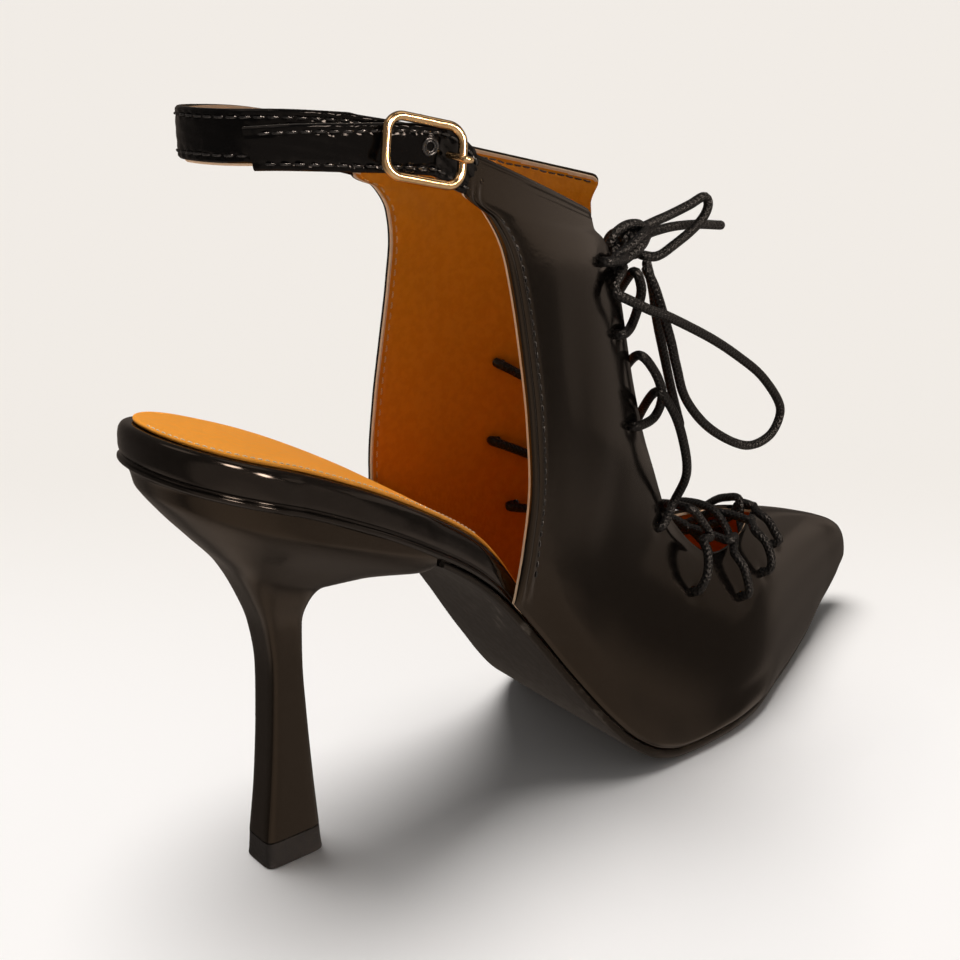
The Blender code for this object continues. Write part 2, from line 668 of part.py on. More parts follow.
def build_buckle_frame(collection, cutters, material):
    """Rounded wire frame with a centre bar that dips behind the strap end."""
    reach = BUCKLE_LENGTH / 2 - BUCKLE_WIRE
    rise = BUCKLE_HEIGHT / 2 - BUCKLE_WIRE
    corner = BUCKLE_CORNER - BUCKLE_WIRE
    route = []
    for turn, (x, y) in enumerate(((1, 1), (-1, 1), (-1, -1), (1, -1))):
        for step in range(5):
            angle = math.pi / 2 * (turn + step / 4)
            route.append(buckle_point(x * (reach - corner) + corner * math.cos(angle),
                                      y * (rise - corner) + corner * math.sin(angle), FRAME_LAYER))
    frame = add_tube("buckle_frame", route, BUCKLE_WIRE, collection, material, True, 1)
    bar_route = [(-rise, FRAME_LAYER), (-rise, 1.8), (-rise + 0.8, 0.9),
                 (rise - 0.8, 0.9), (rise, 1.8), (rise, FRAME_LAYER)]
    bar = add_tube("buckle_bar", [buckle_point(0.0, up, layer) for up, layer in bar_route],
                   0.8 * BUCKLE_WIRE, cutters, material)
    frame = tube_to_mesh(frame)
    bar = tube_to_mesh(bar)
    hide_cutter(bar)
    join = frame.modifiers.new("Centre bar", "BOOLEAN")
    join.operation = "UNION"
    join.object = bar
    return frame


def build_prong(collection, material):
    """Buckle tongue, from the strap's hole to its rest on the front of the frame."""
    route = [(5.5, 4.3), (6.3, 4.9), (7.7, 6.5), (8.9, 6.9), (9.9, 6.6)]
    points = [buckle_point(along, 0.0, layer) for along, layer in route]
    return add_tube("buckle_prong", points, 0.7, collection, material)


# Lace


def lace_arm(side, pair):
    """Route from a hole over the throat's edge, under the other edge and up to the next hole."""
    other = -side
    section, share = hole_place(side, pair)
    section_after, _ = hole_place(side, pair + 1)
    section_across, _ = hole_place(other, pair)
    next_section, next_share = hole_place(other, pair + 1)
    hole = arch_point(side, section, share)
    outward = arch_normal(side, section, share)
    lift = LACE_RADIUS + LACE_CLEAR
    edge_section = section + 0.35 * (section_after - section)
    edge_share = throat_share(side, edge_section)
    edge = arch_point(side, edge_section, edge_share)
    edge_out = arch_normal(side, edge_section, edge_share - 0.03)
    far_section = next_section - 0.25 * (next_section - section_across)
    far_share = throat_share(other, far_section)
    far = arch_point(other, far_section, far_share)
    far_out = arch_normal(other, far_section, far_share - 0.03)
    goal = arch_point(other, next_section, next_share)
    goal_out = arch_normal(other, next_section, next_share)
    half_section = (section + edge_section) / 2
    half_share = (share + edge_share) / 2
    half = arch_point(side, half_section, half_share)
    half_out = arch_normal(side, half_section, half_share)
    front = (edge_out + far_out).normalized()
    slack = LACE_HOLES.at("slack", pair)
    over = slack + (LACE_CROSS_OVER if side == LATERAL else LACE_CROSS_UNDER)
    return [
        hole - outward * (WALL + lift), hole - outward * WALL / 2, hole + outward * lift,
        half + half_out * (lift + slack / 2), edge + edge_out * (lift + slack),
        edge.lerp(far, 0.5) + front * over,
        far - far_out * (WALL + lift + 0.6), goal - goal_out * (WALL + lift)]


def lace_route():
    """Whole lacing, from the knot down one side, through the bar at the toe and up the other."""
    pairs = len(LACE_HOLES.places)
    halves = []
    for first in (LATERAL, MEDIAL):
        side = first
        route = []
        for pair in range(1, pairs):
            arm = lace_arm(side, pair)
            route += arm[:-1]
            side = -side
        section, share = hole_place(side, pairs)
        hole = arch_point(side, section, share)
        outward = arch_normal(side, section, share)
        lift = LACE_RADIUS + LACE_CLEAR
        route += [hole - outward * (WALL + lift), hole - outward * WALL / 2, hole + outward * lift]
        edge_share = throat_share(side, section)
        edge_out = arch_normal(side, section, edge_share - 0.03)
        route.append(arch_point(side, section, edge_share) + edge_out * (lift + LACE_CLEAR))
        if side == MEDIAL:
            route.append(arch_point(side, section, edge_share + 0.12) + edge_out * lift)
        reach = KNOT - route[-1]
        route.append(KNOT - reach.normalized() * KNOT_REACH)
        halves.append(route)
    return halves[0][::-1] + halves[1]


def build_lace(collection, material):
    route = curve_through(lace_route(), lambda start, end: math.ceil((end - start).length / LACE_SPACING))
    return add_tube("lace_crossings", route, LACE_RADIUS, collection, material, roundness=1)


def build_knot(collection, material):
    """Tied middle of the bow, a rounded lump of cord."""
    sheet = bmesh.new()
    bmesh.ops.create_uvsphere(sheet, u_segments=12, v_segments=8, radius=1.0)
    for vert in sheet.verts:
        vert.co = Vector([c * s for c, s in zip(vert.co, KNOT_SIZE)]) * MM
    mesh = bpy.data.meshes.new("lace_knot")
    sheet.to_mesh(mesh)
    sheet.free()
    mesh.shade_smooth()
    mesh.materials.append(material)
    knot = bpy.data.objects.new("lace_knot", mesh)
    knot.location = KNOT * MM
    collection.objects.link(knot)
    return knot


def build_bow(collection, material):
    routes = {"lace_loop_large": LOOP_LARGE, "lace_loop_small": LOOP_SMALL,
              "lace_end_short": END_SHORT, "lace_end_long": END_LONG}
    return [add_tube(name, smooth_route(route, BOW_SPACING), LACE_RADIUS, collection, material)
            for name, route in routes.items()]


def centre_on_floor(parts, cutters):
    """Hang all parts and cutters on one empty that brings the footprint's middle to the origin."""
    bpy.context.view_layer.update()
    corners = [piece.matrix_world @ Vector(corner) for piece in parts for corner in piece.bound_box]
    low = Vector([min(c[axis] for c in corners) for axis in range(3)])
    high = Vector([max(c[axis] for c in corners) for axis in range(3)])
    root = bpy.data.objects.new("shoe_root", None)
    parts[0].users_collection[0].objects.link(root)
    for piece in parts + cutters:
        piece.parent = root
    root.location = (-(low.x + high.x) / 2, -(low.y + high.y) / 2, -low.z)


def main():
    for item in list(bpy.data.objects):
        bpy.data.objects.remove(item)
    shoe = make_collection("slingback_shoe")
    cutters = make_collection("cutters")
    leather = make_material("black_leather", BLACK, 0.22)
    sole_rubber = make_material("sole_rubber", BLACK_RUBBER, 0.5)
    tip_rubber = make_material("tip_rubber", BLACK_RUBBER, 0.45)
    heel_cover = make_material("heel_cover", BLACK, 0.3)
    lining = make_material("ochre_lining", OCHRE, 0.5)
    metal = make_material("gold_metal", GOLD, 0.25, 1.0)
    cord = make_material("waxed_cord", BLACK, 0.45)
    body = [
        build_footbed(shoe, leather), build_sock(shoe, lining), build_outsole(shoe, sole_rubber),
        build_heel(shoe, heel_cover), build_top_piece(shoe, tip_rubber),
        build_upper(shoe, cutters, leather), build_sling(shoe, leather),
        build_billet(shoe, leather), build_buckle_frame(shoe, cutters, metal),
        build_prong(shoe, metal), build_lace(shoe, cord)]
    bow = [build_knot(shoe, cord)] + build_bow(shoe, cord)
    centre_on_floor(body + bow, list(cutters.objects))


main()
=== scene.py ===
"""Looks of the lace-up slingback shoe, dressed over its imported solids.

The shoe is worked out in millimetres from the back of the heel seat: x runs to the toe, y to the
inner side of the foot and z up from the floor. A bench moves each finished mesh into the frame.
"""
from __future__ import annotations

import logging
import math
from dataclasses import dataclass
from enum import Enum
from typing import Callable, Sequence

import bmesh
import bpy
import numpy as np
from mathutils import Matrix, Vector

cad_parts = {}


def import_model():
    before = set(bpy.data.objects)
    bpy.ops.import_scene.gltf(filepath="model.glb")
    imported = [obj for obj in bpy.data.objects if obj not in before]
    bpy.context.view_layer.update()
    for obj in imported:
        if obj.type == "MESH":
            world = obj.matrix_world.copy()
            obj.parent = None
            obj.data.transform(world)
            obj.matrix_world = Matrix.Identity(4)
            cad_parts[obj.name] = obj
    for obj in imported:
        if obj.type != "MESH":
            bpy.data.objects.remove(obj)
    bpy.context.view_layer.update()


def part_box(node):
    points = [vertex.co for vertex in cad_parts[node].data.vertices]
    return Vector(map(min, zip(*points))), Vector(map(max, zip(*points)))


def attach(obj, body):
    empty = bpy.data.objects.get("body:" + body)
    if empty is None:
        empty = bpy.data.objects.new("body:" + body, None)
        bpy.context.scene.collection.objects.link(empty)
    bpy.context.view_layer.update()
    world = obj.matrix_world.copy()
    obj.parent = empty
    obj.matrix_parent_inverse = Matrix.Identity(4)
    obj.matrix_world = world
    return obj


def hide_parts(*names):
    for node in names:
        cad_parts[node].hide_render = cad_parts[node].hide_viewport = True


LOG = logging.getLogger("slingback")
MM = 0.001
Colour = tuple[float, float, float]
Point = tuple[float, float, float]
Span = tuple[float, float]
Route = tuple[Point, ...]
Points = np.ndarray
Grid = dict[str, Points]
Faces = list[tuple[int, ...]]
Piece = bpy.types.Object
Material = bpy.types.Material
Tree = bpy.types.NodeTree
Node = bpy.types.Node
Socket = bpy.types.NodeSocket


class Side(Enum):
    """Side of the foot, with the sign of its y."""

    LATERAL = -1
    MEDIAL = 1


class Slot(Enum):
    """Material slots of the record."""

    LEATHER = "black_leather"
    LINING = "ochre_lining"
    SOLE = "sole_rubber"
    TIP = "tip_rubber"
    HEEL = "heel_cover"
    METAL = "gold_metal"
    CORD = "waxed_cord"


# Curves and tables


class Table:
    """Rows with named columns. The first column is the place that the others are read at."""

    def __init__(self, columns: str, rows: Sequence[Sequence[float]]) -> None:
        """Keep the rows and work out each column's slopes.

        Args:
            columns: Names of the columns, with spaces between them.
            rows: One row of numbers for each place.
        """
        data = np.array(rows, float)
        self.places = data[:, 0]
        self.steps = np.diff(self.places)
        self.values = dict(zip(columns.split(), data.T))
        self.slopes = {name: self.column_slopes(column) for name, column in self.values.items()}

    def column_slopes(self, column: Points) -> Points:
        """Slopes that keep a smooth curve from overshooting its rows.

        Args:
            column: One column's values.

        Returns:
            The slope at each row.
        """
        rises = np.diff(column) / self.steps
        before, after = rises[:-1], rises[1:]
        total = np.where(before + after == 0, 1.0, before + after)
        inner = np.where(before * after > 0, 2 * before * after / total, 0.0)
        return np.concatenate([rises[:1], inner, rises[-1:]])

    def at(self, name: str, place: Points | float) -> Points:
        """Read a column on a smooth curve through its rows.

        Args:
            name: The column.
            place: One place or an array of them.

        Returns:
            The column's value at each place.
        """
        x = np.clip(place, self.places[0], self.places[-1])
        i = np.clip(np.searchsorted(self.places, x, side="right") - 1, 0, len(self.steps) - 1)
        t = (x - self.places[i]) / self.steps[i]
        column, slopes = self.values[name], self.slopes[name]
        value = column[i] * (1 + 2 * t) * (1 - t) ** 2 + column[i + 1] * t * t * (3 - 2 * t)
        return value + self.steps[i] * (slopes[i] * t * (1 - t) ** 2 - slopes[i + 1] * t * t * (1 - t))

    def points(self, place: Points | float) -> Points:
        """Read the x, y and z columns together, as points."""
        return np.stack([self.at(axis, place) for axis in "xyz"], axis=-1)


def smooth_step(low: float, high: float, value: Points | float) -> Points:
    """Rise softly from 0 at low to 1 at high."""
    t = np.clip((np.asarray(value, float) - low) / (high - low), 0.0, 1.0)
    return t * t * (3 - 2 * t)


def bump(value: Points | float, middle: float, width: float) -> Points:
    """Soft bell of height 1 round a middle."""
    return np.exp(-(((np.asarray(value, float) - middle) / width) ** 2))


def unit(vectors: Points) -> Points:
    """Vectors of the same direction and length 1."""
    length = np.linalg.norm(vectors, axis=-1, keepdims=True)
    return vectors / np.maximum(length, 1e-12)


def spline_at(route: Sequence[Sequence[float]], place: Points) -> Points:
    """Points on a smooth curve through a route.

    Args:
        route: Points listed, in millimetres. They lie at the whole places.
        place: Places along the route, a little past its ends too.

    Returns:
        Points on the curve.
    """
    p = np.array(route, float)
    ends = np.vstack([2 * p[0] - p[1], p, 2 * p[-1] - p[-2]])
    k = np.clip(place.astype(int), 0, len(p) - 2)
    t = (place - k)[:, None]
    a, b, c, d = (ends[k + i] for i in range(4))
    bend = (2 * a - 5 * b + 4 * c - d) * t ** 2 + (3 * b - a - 3 * c + d) * t ** 3
    return b + ((c - a) * t + bend) / 2


def curve_through(route: Sequence[Sequence[float]], steps: int = 14) -> Points:
    """Smooth curve through a route, with a number of steps between two of its points."""
    return spline_at(route, np.arange((len(route) - 1) * steps + 1) / steps)


def even_points(path: Points, spacing: float) -> Points:
    """Points at an even spacing along a path.

    Args:
        path: The path's points.
        spacing: Distance wanted between points.

    Returns:
        Evenly spaced points, both ends included.
    """
    lengths = path_lengths(path)
    count = max(2, round(lengths[-1] / spacing))
    return points_along(path, lengths, np.linspace(0.0, lengths[-1], count + 1))


def path_lengths(path: Points) -> Points:
    """Distance along a path at each of its points."""
    return np.concatenate([[0.0], np.cumsum(np.linalg.norm(np.diff(path, axis=0), axis=1))])


def points_along(path: Points, lengths: Points, goal: Points | float) -> Points:
    """Points at distances along a path whose own lengths are known."""
    return np.stack([np.interp(goal, lengths, path[:, axis]) for axis in range(3)], axis=-1)


# Meshes


def into_scene(name: str, data: bpy.types.ID) -> Piece:
    """Put a mesh, a lamp or a camera into the scene as an object."""
    thing = bpy.data.objects.new(name, data)
    bpy.context.scene.collection.objects.link(thing)
    return thing


class Bench:
    """Turns points of the shoe, in millimetres, into mesh objects that stand in the frame."""

    def __init__(self, offset: Vector) -> None:
        """Keep the way from the back of the heel seat to the frame's origin, in millimetres."""
        self.offset = np.array(offset)

    def place(self, points: Points) -> Points:
        """Points in the frame, in metres."""
        return (np.asarray(points, float) + self.offset) * MM

    def make(self, name: str, points: Points, faces: Sequence[Sequence[int]],
             finishes: Sequence[Material], finish_of: Sequence[int] | None = None,
             uvs: Points | None = None, weld: float = 0.0, sharp: float = 60.0) -> Piece:
        """Make one smooth mesh object that rides on the shoe.

        Args:
            name: The piece's name.
            points: Its vertices, in millimetres.
            faces: Its faces, as vertex numbers.
            finishes: Its materials.
            finish_of: The material of each face, if there is more than one.
            uvs: One pair for each corner of each face, in order.
            weld: Distance under which vertices are joined, in millimetres.
            sharp: Angle from which an edge stays sharp, in degrees.

        Returns:
            The new object.
        """
        mesh = bpy.data.meshes.new(name)
        mesh.from_pydata(self.place(points).tolist(), [], [list(face) for face in faces])
        if finish_of is not None:
            mesh.polygons.foreach_set("material_index", np.asarray(finish_of, np.int32))
        if uvs is not None:
            layer = mesh.uv_layers.new(name="Along")
            layer.data.foreach_set("uv", np.asarray(uvs, np.float32).ravel())
        sheet = bmesh.new()
        sheet.from_mesh(mesh)
        if weld:
            bmesh.ops.remove_doubles(sheet, verts=sheet.verts, dist=weld * MM)
            bmesh.ops.dissolve_degenerate(sheet, edges=sheet.edges, dist=weld * MM / 2)
        bmesh.ops.recalc_face_normals(sheet, faces=sheet.faces)
        sheet.to_mesh(mesh)
        sheet.free()
        for finish in finishes:
            mesh.materials.append(finish)
        mesh.shade_smooth()
        mesh.set_sharp_from_angle(angle=math.radians(sharp))
        return into_scene(name, mesh)

    def settle(self, piece: Piece, slot: Slot, *nodes: str) -> Piece:
        """Hang a piece on the shoe's body.

        Args:
            piece: The piece.
            slot: The record's material slot; not used.
            nodes: Solids that it stands for.

        Returns:
            The same piece.
        """
        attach(piece, "root")
        if nodes:
            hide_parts(*nodes)
        count = len(piece.data.polygons)
        LOG.info("%s: %d faces, stands for %s", piece.name, count, nodes or "no solid")
        return piece

    def punch(self, piece: Piece, cutter: Piece) -> None:
        """Cut holes through a piece and keep the cut mesh.

        Args:
            piece: The piece.
            cutter: The punches, as one object.
        """
        cut = piece.modifiers.new("Punch", "BOOLEAN")
        cut.operation = "DIFFERENCE"
        cut.object = cutter
        bpy.context.view_layer.update()
        evaluated = piece.evaluated_get(bpy.context.evaluated_depsgraph_get())
        punched = bpy.data.meshes.new_from_object(evaluated)
        piece.modifiers.clear()
        piece.data = punched


def grid_faces(rows: int, columns: int, first: int = 0, close: bool = False) -> Faces:
    """Quads over a grid of vertices.

    Args:
        rows: Rows of vertices.
        columns: Vertices in a row.
        first: Number of the first vertex.
        close: Whether each row joins its last vertex to its first.

    Returns:
        The quads.
    """
    faces = []
    for row in range(rows - 1):
        a = first + row * columns
        for k in range(columns if close else columns - 1):
            j = (k + 1) % columns
            faces.append((a + k, a + j, a + columns + j, a + columns + k))
    return faces


def ring_caps(rows: int, columns: int, first: int = 0) -> Faces:
    """Flat end faces of a loft of closed rings, from each vertex to its mirror vertex.

    Args:
        rows: Rings of the loft.
        columns: Vertices in a ring.
        first: Number of the first vertex.

    Returns:
        The end faces.
    """
    faces = []
    for base in (first, first + (rows - 1) * columns):
        for i in range(columns // 2 - 1):
            faces.append((base + i, base + i + 1, base + columns - 2 - i, base + columns - 1 - i))
    return faces


def path_frames(path: Points) -> tuple[Points, Points, Points]:
    """Directions along a path and two across it, turned as little as can be.

    Args:
        path: The path's points.

    Returns:
        Directions along, across and square to both.
    """
    along = unit(np.gradient(path, axis=0))
    start = np.array([0.0, 0.0, 1.0]) if abs(along[0, 2]) < 0.8 else np.array([1.0, 0.0, 0.0])
    across = [unit(np.cross(along[0], start))]
    for ahead in along[1:]:
        turned = across[-1] - ahead * np.dot(across[-1], ahead)
        across.append(unit(turned))
    across = np.array(across)
    return along, across, np.cross(along, across)


@dataclass
class Tube:
    """Round cord, thread or wire along a path."""

    path: Points
    radius: float
    sides: int
    rounded: bool

    def rings(self) -> tuple[Points, Points]:
        """Rings of the tube.

        Returns:
            The rings' points and the distance along the tube at each ring.
        """
        along, across, over = path_frames(self.path)
        lengths = path_lengths(self.path)
        scale = np.ones(len(self.path))
        path = self.path
        if self.rounded:
            turns = np.radians([12.0, 35.0, 62.0])
            reach = self.radius * np.sin(np.pi / 2 - turns)[:, None]
            path = np.vstack([path[0] - along[0] * reach, path, path[-1] + along[-1] * reach[::-1]])
            shrink = np.sin(turns)
            scale = np.concatenate([shrink, scale, shrink[::-1]])
            first, final = [0] * len(turns), [-1] * len(turns)
            across = np.vstack([across[first], across, across[final]])
            over = np.vstack([over[first], over, over[final]])
            ends = reach[:, 0]
            lengths = np.concatenate([lengths[0] - ends, lengths, lengths[-1] + ends[::-1]])
        angle = np.linspace(0.0, 2 * np.pi, self.sides, endpoint=False)
        cos, sin = np.cos(angle)[None, :, None], np.sin(angle)[None, :, None]
        spokes = cos * across[:, None] + sin * over[:, None]
        return path[:, None] + spokes * (self.radius * scale)[:, None, None], lengths

    def mesh(self) -> tuple[Points, Faces, Points]:
        """Closed tube.

        Returns:
            Its points, its faces and a pair of lengths, along and round, for each corner.
        """
        rings, lengths = self.rings()
        rows, columns = rings.shape[:2]
        faces = grid_faces(rows, columns, close=True)
        uvs = []
        for row in range(rows - 1):
            for k in range(columns):
                left, right = k / columns, (k + 1) / columns
                low, high = lengths[row], lengths[row + 1]
                uvs += [(low, left), (low, right), (high, right), (high, left)]
        for base, place in ((0, lengths[0]), ((rows - 1) * columns, lengths[-1])):
            faces.append(tuple(range(base, base + columns)))
            uvs += [(place, k / columns) for k in range(columns)]
        return rings.reshape(-1, 3), faces, np.array(uvs)


class Joined:
    """Many small closed shapes gathered into one mesh."""

    def __init__(self) -> None:
        """Start with nothing."""
        self.points: list[Points] = []
        self.faces: Faces = []
        self.uvs: list[Points] = []
        self.count = 0

    def add(self, points: Points, faces: Sequence[Sequence[int]], uvs: Points) -> None:
        """Add one shape."""
        self.faces += [tuple(i + self.count for i in face) for face in faces]
        self.points.append(points)
        self.uvs.append(uvs)
        self.count += len(points)

    def tube(self, path: Points, radius: float, sides: int = 12, rounded: bool = True) -> None:
        """Add one tube along a path."""
        self.add(*Tube(path, radius, sides, rounded).mesh())


@dataclass(frozen=True)
class Stitching:
    """Row of stitches sunk into a seam."""

    pitch: float = 2.6
    length: float = 1.9
    radius: float = 0.24
    sink: float = 0.10
    dip: float = 2.2
    sides: int = 6

    def sew(self, thread: Joined, path: Points, normals: Points) -> None:
        """Sew one row along a seam.

        Args:
            thread: The mesh that the stitches join.
            path: Points of the seam, on the leather's face.
            normals: Directions out of the leather at those points.
        """
        lengths = path_lengths(path)
        count = max(1, int(lengths[-1] / self.pitch))
        for k in range(count):
            middle = (k + 0.5) * lengths[-1] / count
            places = middle + self.length * np.linspace(-0.5, 0.5, 5)
            row = points_along(path, lengths, places)
            out = unit(points_along(normals, lengths, middle))
            lift = self.radius * (1 - self.dip * np.linspace(-1.0, 1.0, 5) ** 4) - self.sink
            thread.tube(row + out * lift[:, None], self.radius, self.sides, False)


# Finishes


def fill(node: Node, values: dict[str, object]) -> None:
    """Set a node's inputs to plain values."""
    for name, value in values.items():
        node.inputs[name].default_value = value


def new_material(name: str) -> tuple[Material, Node]:
    """New material and its Principled shader."""
    material = bpy.data.materials.new(name)
    material.use_nodes = True
    return material, material.node_tree.nodes["Principled BSDF"]


class NodeBench:
    """Adds and links the nodes of one tree."""

    def __init__(self, tree: Tree) -> None:
        """Keep the tree."""
        self.tree = tree

    def add(self, kind: str, **settings: object) -> Node:
        """Add a node.

        Args:
            kind: Its type, without the word ShaderNode.
            settings: Properties to set on it.

        Returns:
            The node.
        """
        node = self.tree.nodes.new("ShaderNode" + kind)
        for name, value in settings.items():
            setattr(node, name, value)
        return node

    def link(self, source: Socket, goal: Socket) -> None:
        """Join an output to an input."""
        self.tree.links.new(source, goal)

    def math(self, operation: str, first: object, second: object = 0.0) -> Socket:
        """Work out a value from two others, each a socket or a number.

        Args:
            operation: Name of the Math node's operation.
            first: The first value.
            second: The second value.

        Returns:
            The result's socket.
        """
        node = self.add("Math", operation=operation)
        for socket, value in zip(node.inputs, (first, second)):
            if isinstance(value, Socket):
                self.link(value, socket)
            else:
                socket.default_value = value
        return node.outputs[0]

    def spread(self, value: Socket, low: float, high: float,
               to_low: float = 0.0, to_high: float = 1.0) -> Socket:
        """Map a value's range from low to high onto another range, smoothly."""
        node = self.add("MapRange", interpolation_type="SMOOTHSTEP")
        self.link(value, node.inputs["Value"])
        fill(node, {"From Min": low, "From Max": high, "To Min": to_low, "To Max": to_high})
        return node.outputs["Result"]

    def noise(self, place: Socket, scale: float, detail: float = 2.0,
              kind: str = "FBM") -> Socket:
        """Noise of a scale and a detail at a place."""
        node = self.add("TexNoise", noise_type=kind)
        self.link(place, node.inputs["Vector"])
        fill(node, {"Scale": scale, "Detail": detail})
        return node.outputs["Fac"]

    def drawn_out(self, place: Socket, scale: Sequence[float],
                  turn: Sequence[float]) -> Socket:
        """Place turned, and scaled along each axis on its own."""
        node = self.add("Mapping")
        self.link(place, node.inputs["Vector"])
        fill(node, {"Scale": scale, "Rotation": turn})
        return node.outputs[0]

    def mix(self, share: Socket, first: Colour, second: Colour) -> Socket:
        """Mix two colours by a share.

        Args:
            share: Share of the second colour.
            first: The first colour.
            second: The second colour.

        Returns:
            The mixed colour's socket.
        """
        node = self.add("Mix", data_type="RGBA")
        self.link(share, node.inputs[0])
        node.inputs[6].default_value = (*first, 1.0)
        node.inputs[7].default_value = (*second, 1.0)
        return node.outputs[2]


class Effects:
    """Shader effects that several finishes share, each a node group that is built once."""

    def __init__(self) -> None:
        """Build the groups."""
        self.grain = self.build_grain()
        self.crinkle = self.build_crinkle()
        self.wear = self.build_wear()
        self.braid = self.build_braid()

    def start(self, name: str, values: Sequence[str]) -> tuple[NodeBench, Node, Node]:
        """Start a group that gives a height and a mask.

        Args:
            name: The group's name.
            values: Names of its number inputs.

        Returns:
            Its node bench, its input node and its output node.
        """
        tree = bpy.data.node_groups.new(name, "ShaderNodeTree")
        for value in values:
            tree.interface.new_socket(value, in_out="INPUT", socket_type="NodeSocketFloat")
        for value in ("Height", "Mask"):
            tree.interface.new_socket(value, in_out="OUTPUT", socket_type="NodeSocketFloat")
        nodes = NodeBench(tree)
        return nodes, tree.nodes.new("NodeGroupInput"), tree.nodes.new("NodeGroupOutput")

    def scaled_place(self, nodes: NodeBench, scale: Socket) -> Socket:
        """Place on the shoe times a scale, in turns to the metre.

        Args:
            nodes: The group's node bench.
            scale: The scale's socket.

        Returns:
            The scaled place's socket.
        """
        place = nodes.add("TexCoord")
        grow = nodes.add("VectorMath", operation="SCALE")
        nodes.link(place.outputs["Object"], grow.inputs[0])
        nodes.link(scale, grow.inputs["Scale"])
        return grow.outputs[0]

    def build_grain(self) -> Tree:
        """Pebbled grain with pores.

        Returns:
            The group.
        """
        nodes, given, made = self.start("leather_grain", ["Scale"])
        place = self.scaled_place(nodes, given.outputs["Scale"])
        cells = nodes.add("TexVoronoi", feature="SMOOTH_F1")
        nodes.link(place, cells.inputs["Vector"])
        fill(cells, {"Scale": 1.0, "Smoothness": 0.6})
        soft = nodes.noise(place, 0.45, 5.0)
        pebble = nodes.spread(cells.outputs["Distance"], 0.15, 0.75, 1.0, 0.0)
        height = nodes.math("MULTIPLY_ADD", soft, 0.8)
        nodes.link(pebble, height.node.inputs[2])
        nodes.link(height, made.inputs["Height"])
        nodes.link(nodes.spread(soft, 0.35, 0.65), made.inputs["Mask"])
        return nodes.tree

    def build_crinkle(self) -> Tree:
        """Fine creases of leather that has been bent, drawn out along one direction.

        Returns:
            The group.
        """
        nodes, given, made = self.start("leather_crinkle", ["Scale"])
        place = self.scaled_place(nodes, given.outputs["Scale"])
        long = nodes.drawn_out(place, (1.0, 1.0, 0.38), (0.3, 0.5, 0.2))
        folds = nodes.noise(long, 1.0, 3.0, "RIDGED_MULTIFRACTAL")
        mask = nodes.spread(nodes.noise(place, 0.22), 0.42, 0.66)
        nodes.link(nodes.math("MULTIPLY", folds, mask), made.inputs["Height"])
        nodes.link(mask, made.inputs["Mask"])
        return nodes.tree

    def build_wear(self) -> Tree:
        """Light scratches and rubbed patches.

        Returns:
            The group.
        """
        nodes, given, made = self.start("surface_wear", ["Scale"])
        place = self.scaled_place(nodes, given.outputs["Scale"])
        long = nodes.drawn_out(place, (0.25, 2.2, 1.0), (0.1, 0.4, 0.6))
        streaks = nodes.spread(nodes.noise(long, 3.0, 6.0), 0.56, 0.74)
        cloud = nodes.spread(nodes.noise(place, 0.6, 4.0), 0.4, 0.62)
        mask = nodes.math("MULTIPLY", streaks, cloud)
        nodes.link(nodes.math("MULTIPLY", mask, -1.0), made.inputs["Height"])
        nodes.link(mask, made.inputs["Mask"])
        return nodes.tree

    def build_braid(self) -> Tree:
        """Round braid: strands that cross each other along and round the cord.

        Returns:
            The group.
        """
        nodes, given, made = self.start("cord_braid", ["Pitch", "Strands"])
        place = nodes.add("UVMap", uv_map="Along")
        parts = nodes.add("SeparateXYZ")
        nodes.link(place.outputs["UV"], parts.inputs[0])
        along = nodes.math("DIVIDE", parts.outputs["X"], given.outputs["Pitch"])
        across = nodes.math("MULTIPLY", parts.outputs["Y"], given.outputs["Strands"])
        waves = []
        for sign in ("ADD", "SUBTRACT"):
            turn = nodes.math("MULTIPLY", nodes.math(sign, along, across), 2 * math.pi)
            waves.append(nodes.math("MULTIPLY_ADD", nodes.math("SINE", turn), 0.5))
            waves[-1].node.inputs[2].default_value = 0.5
        strand = nodes.math("MAXIMUM", *waves)
        nodes.link(strand, made.inputs["Height"])
        nodes.link(nodes.spread(strand, 0.72, 0.98), made.inputs["Mask"])
        return nodes.tree


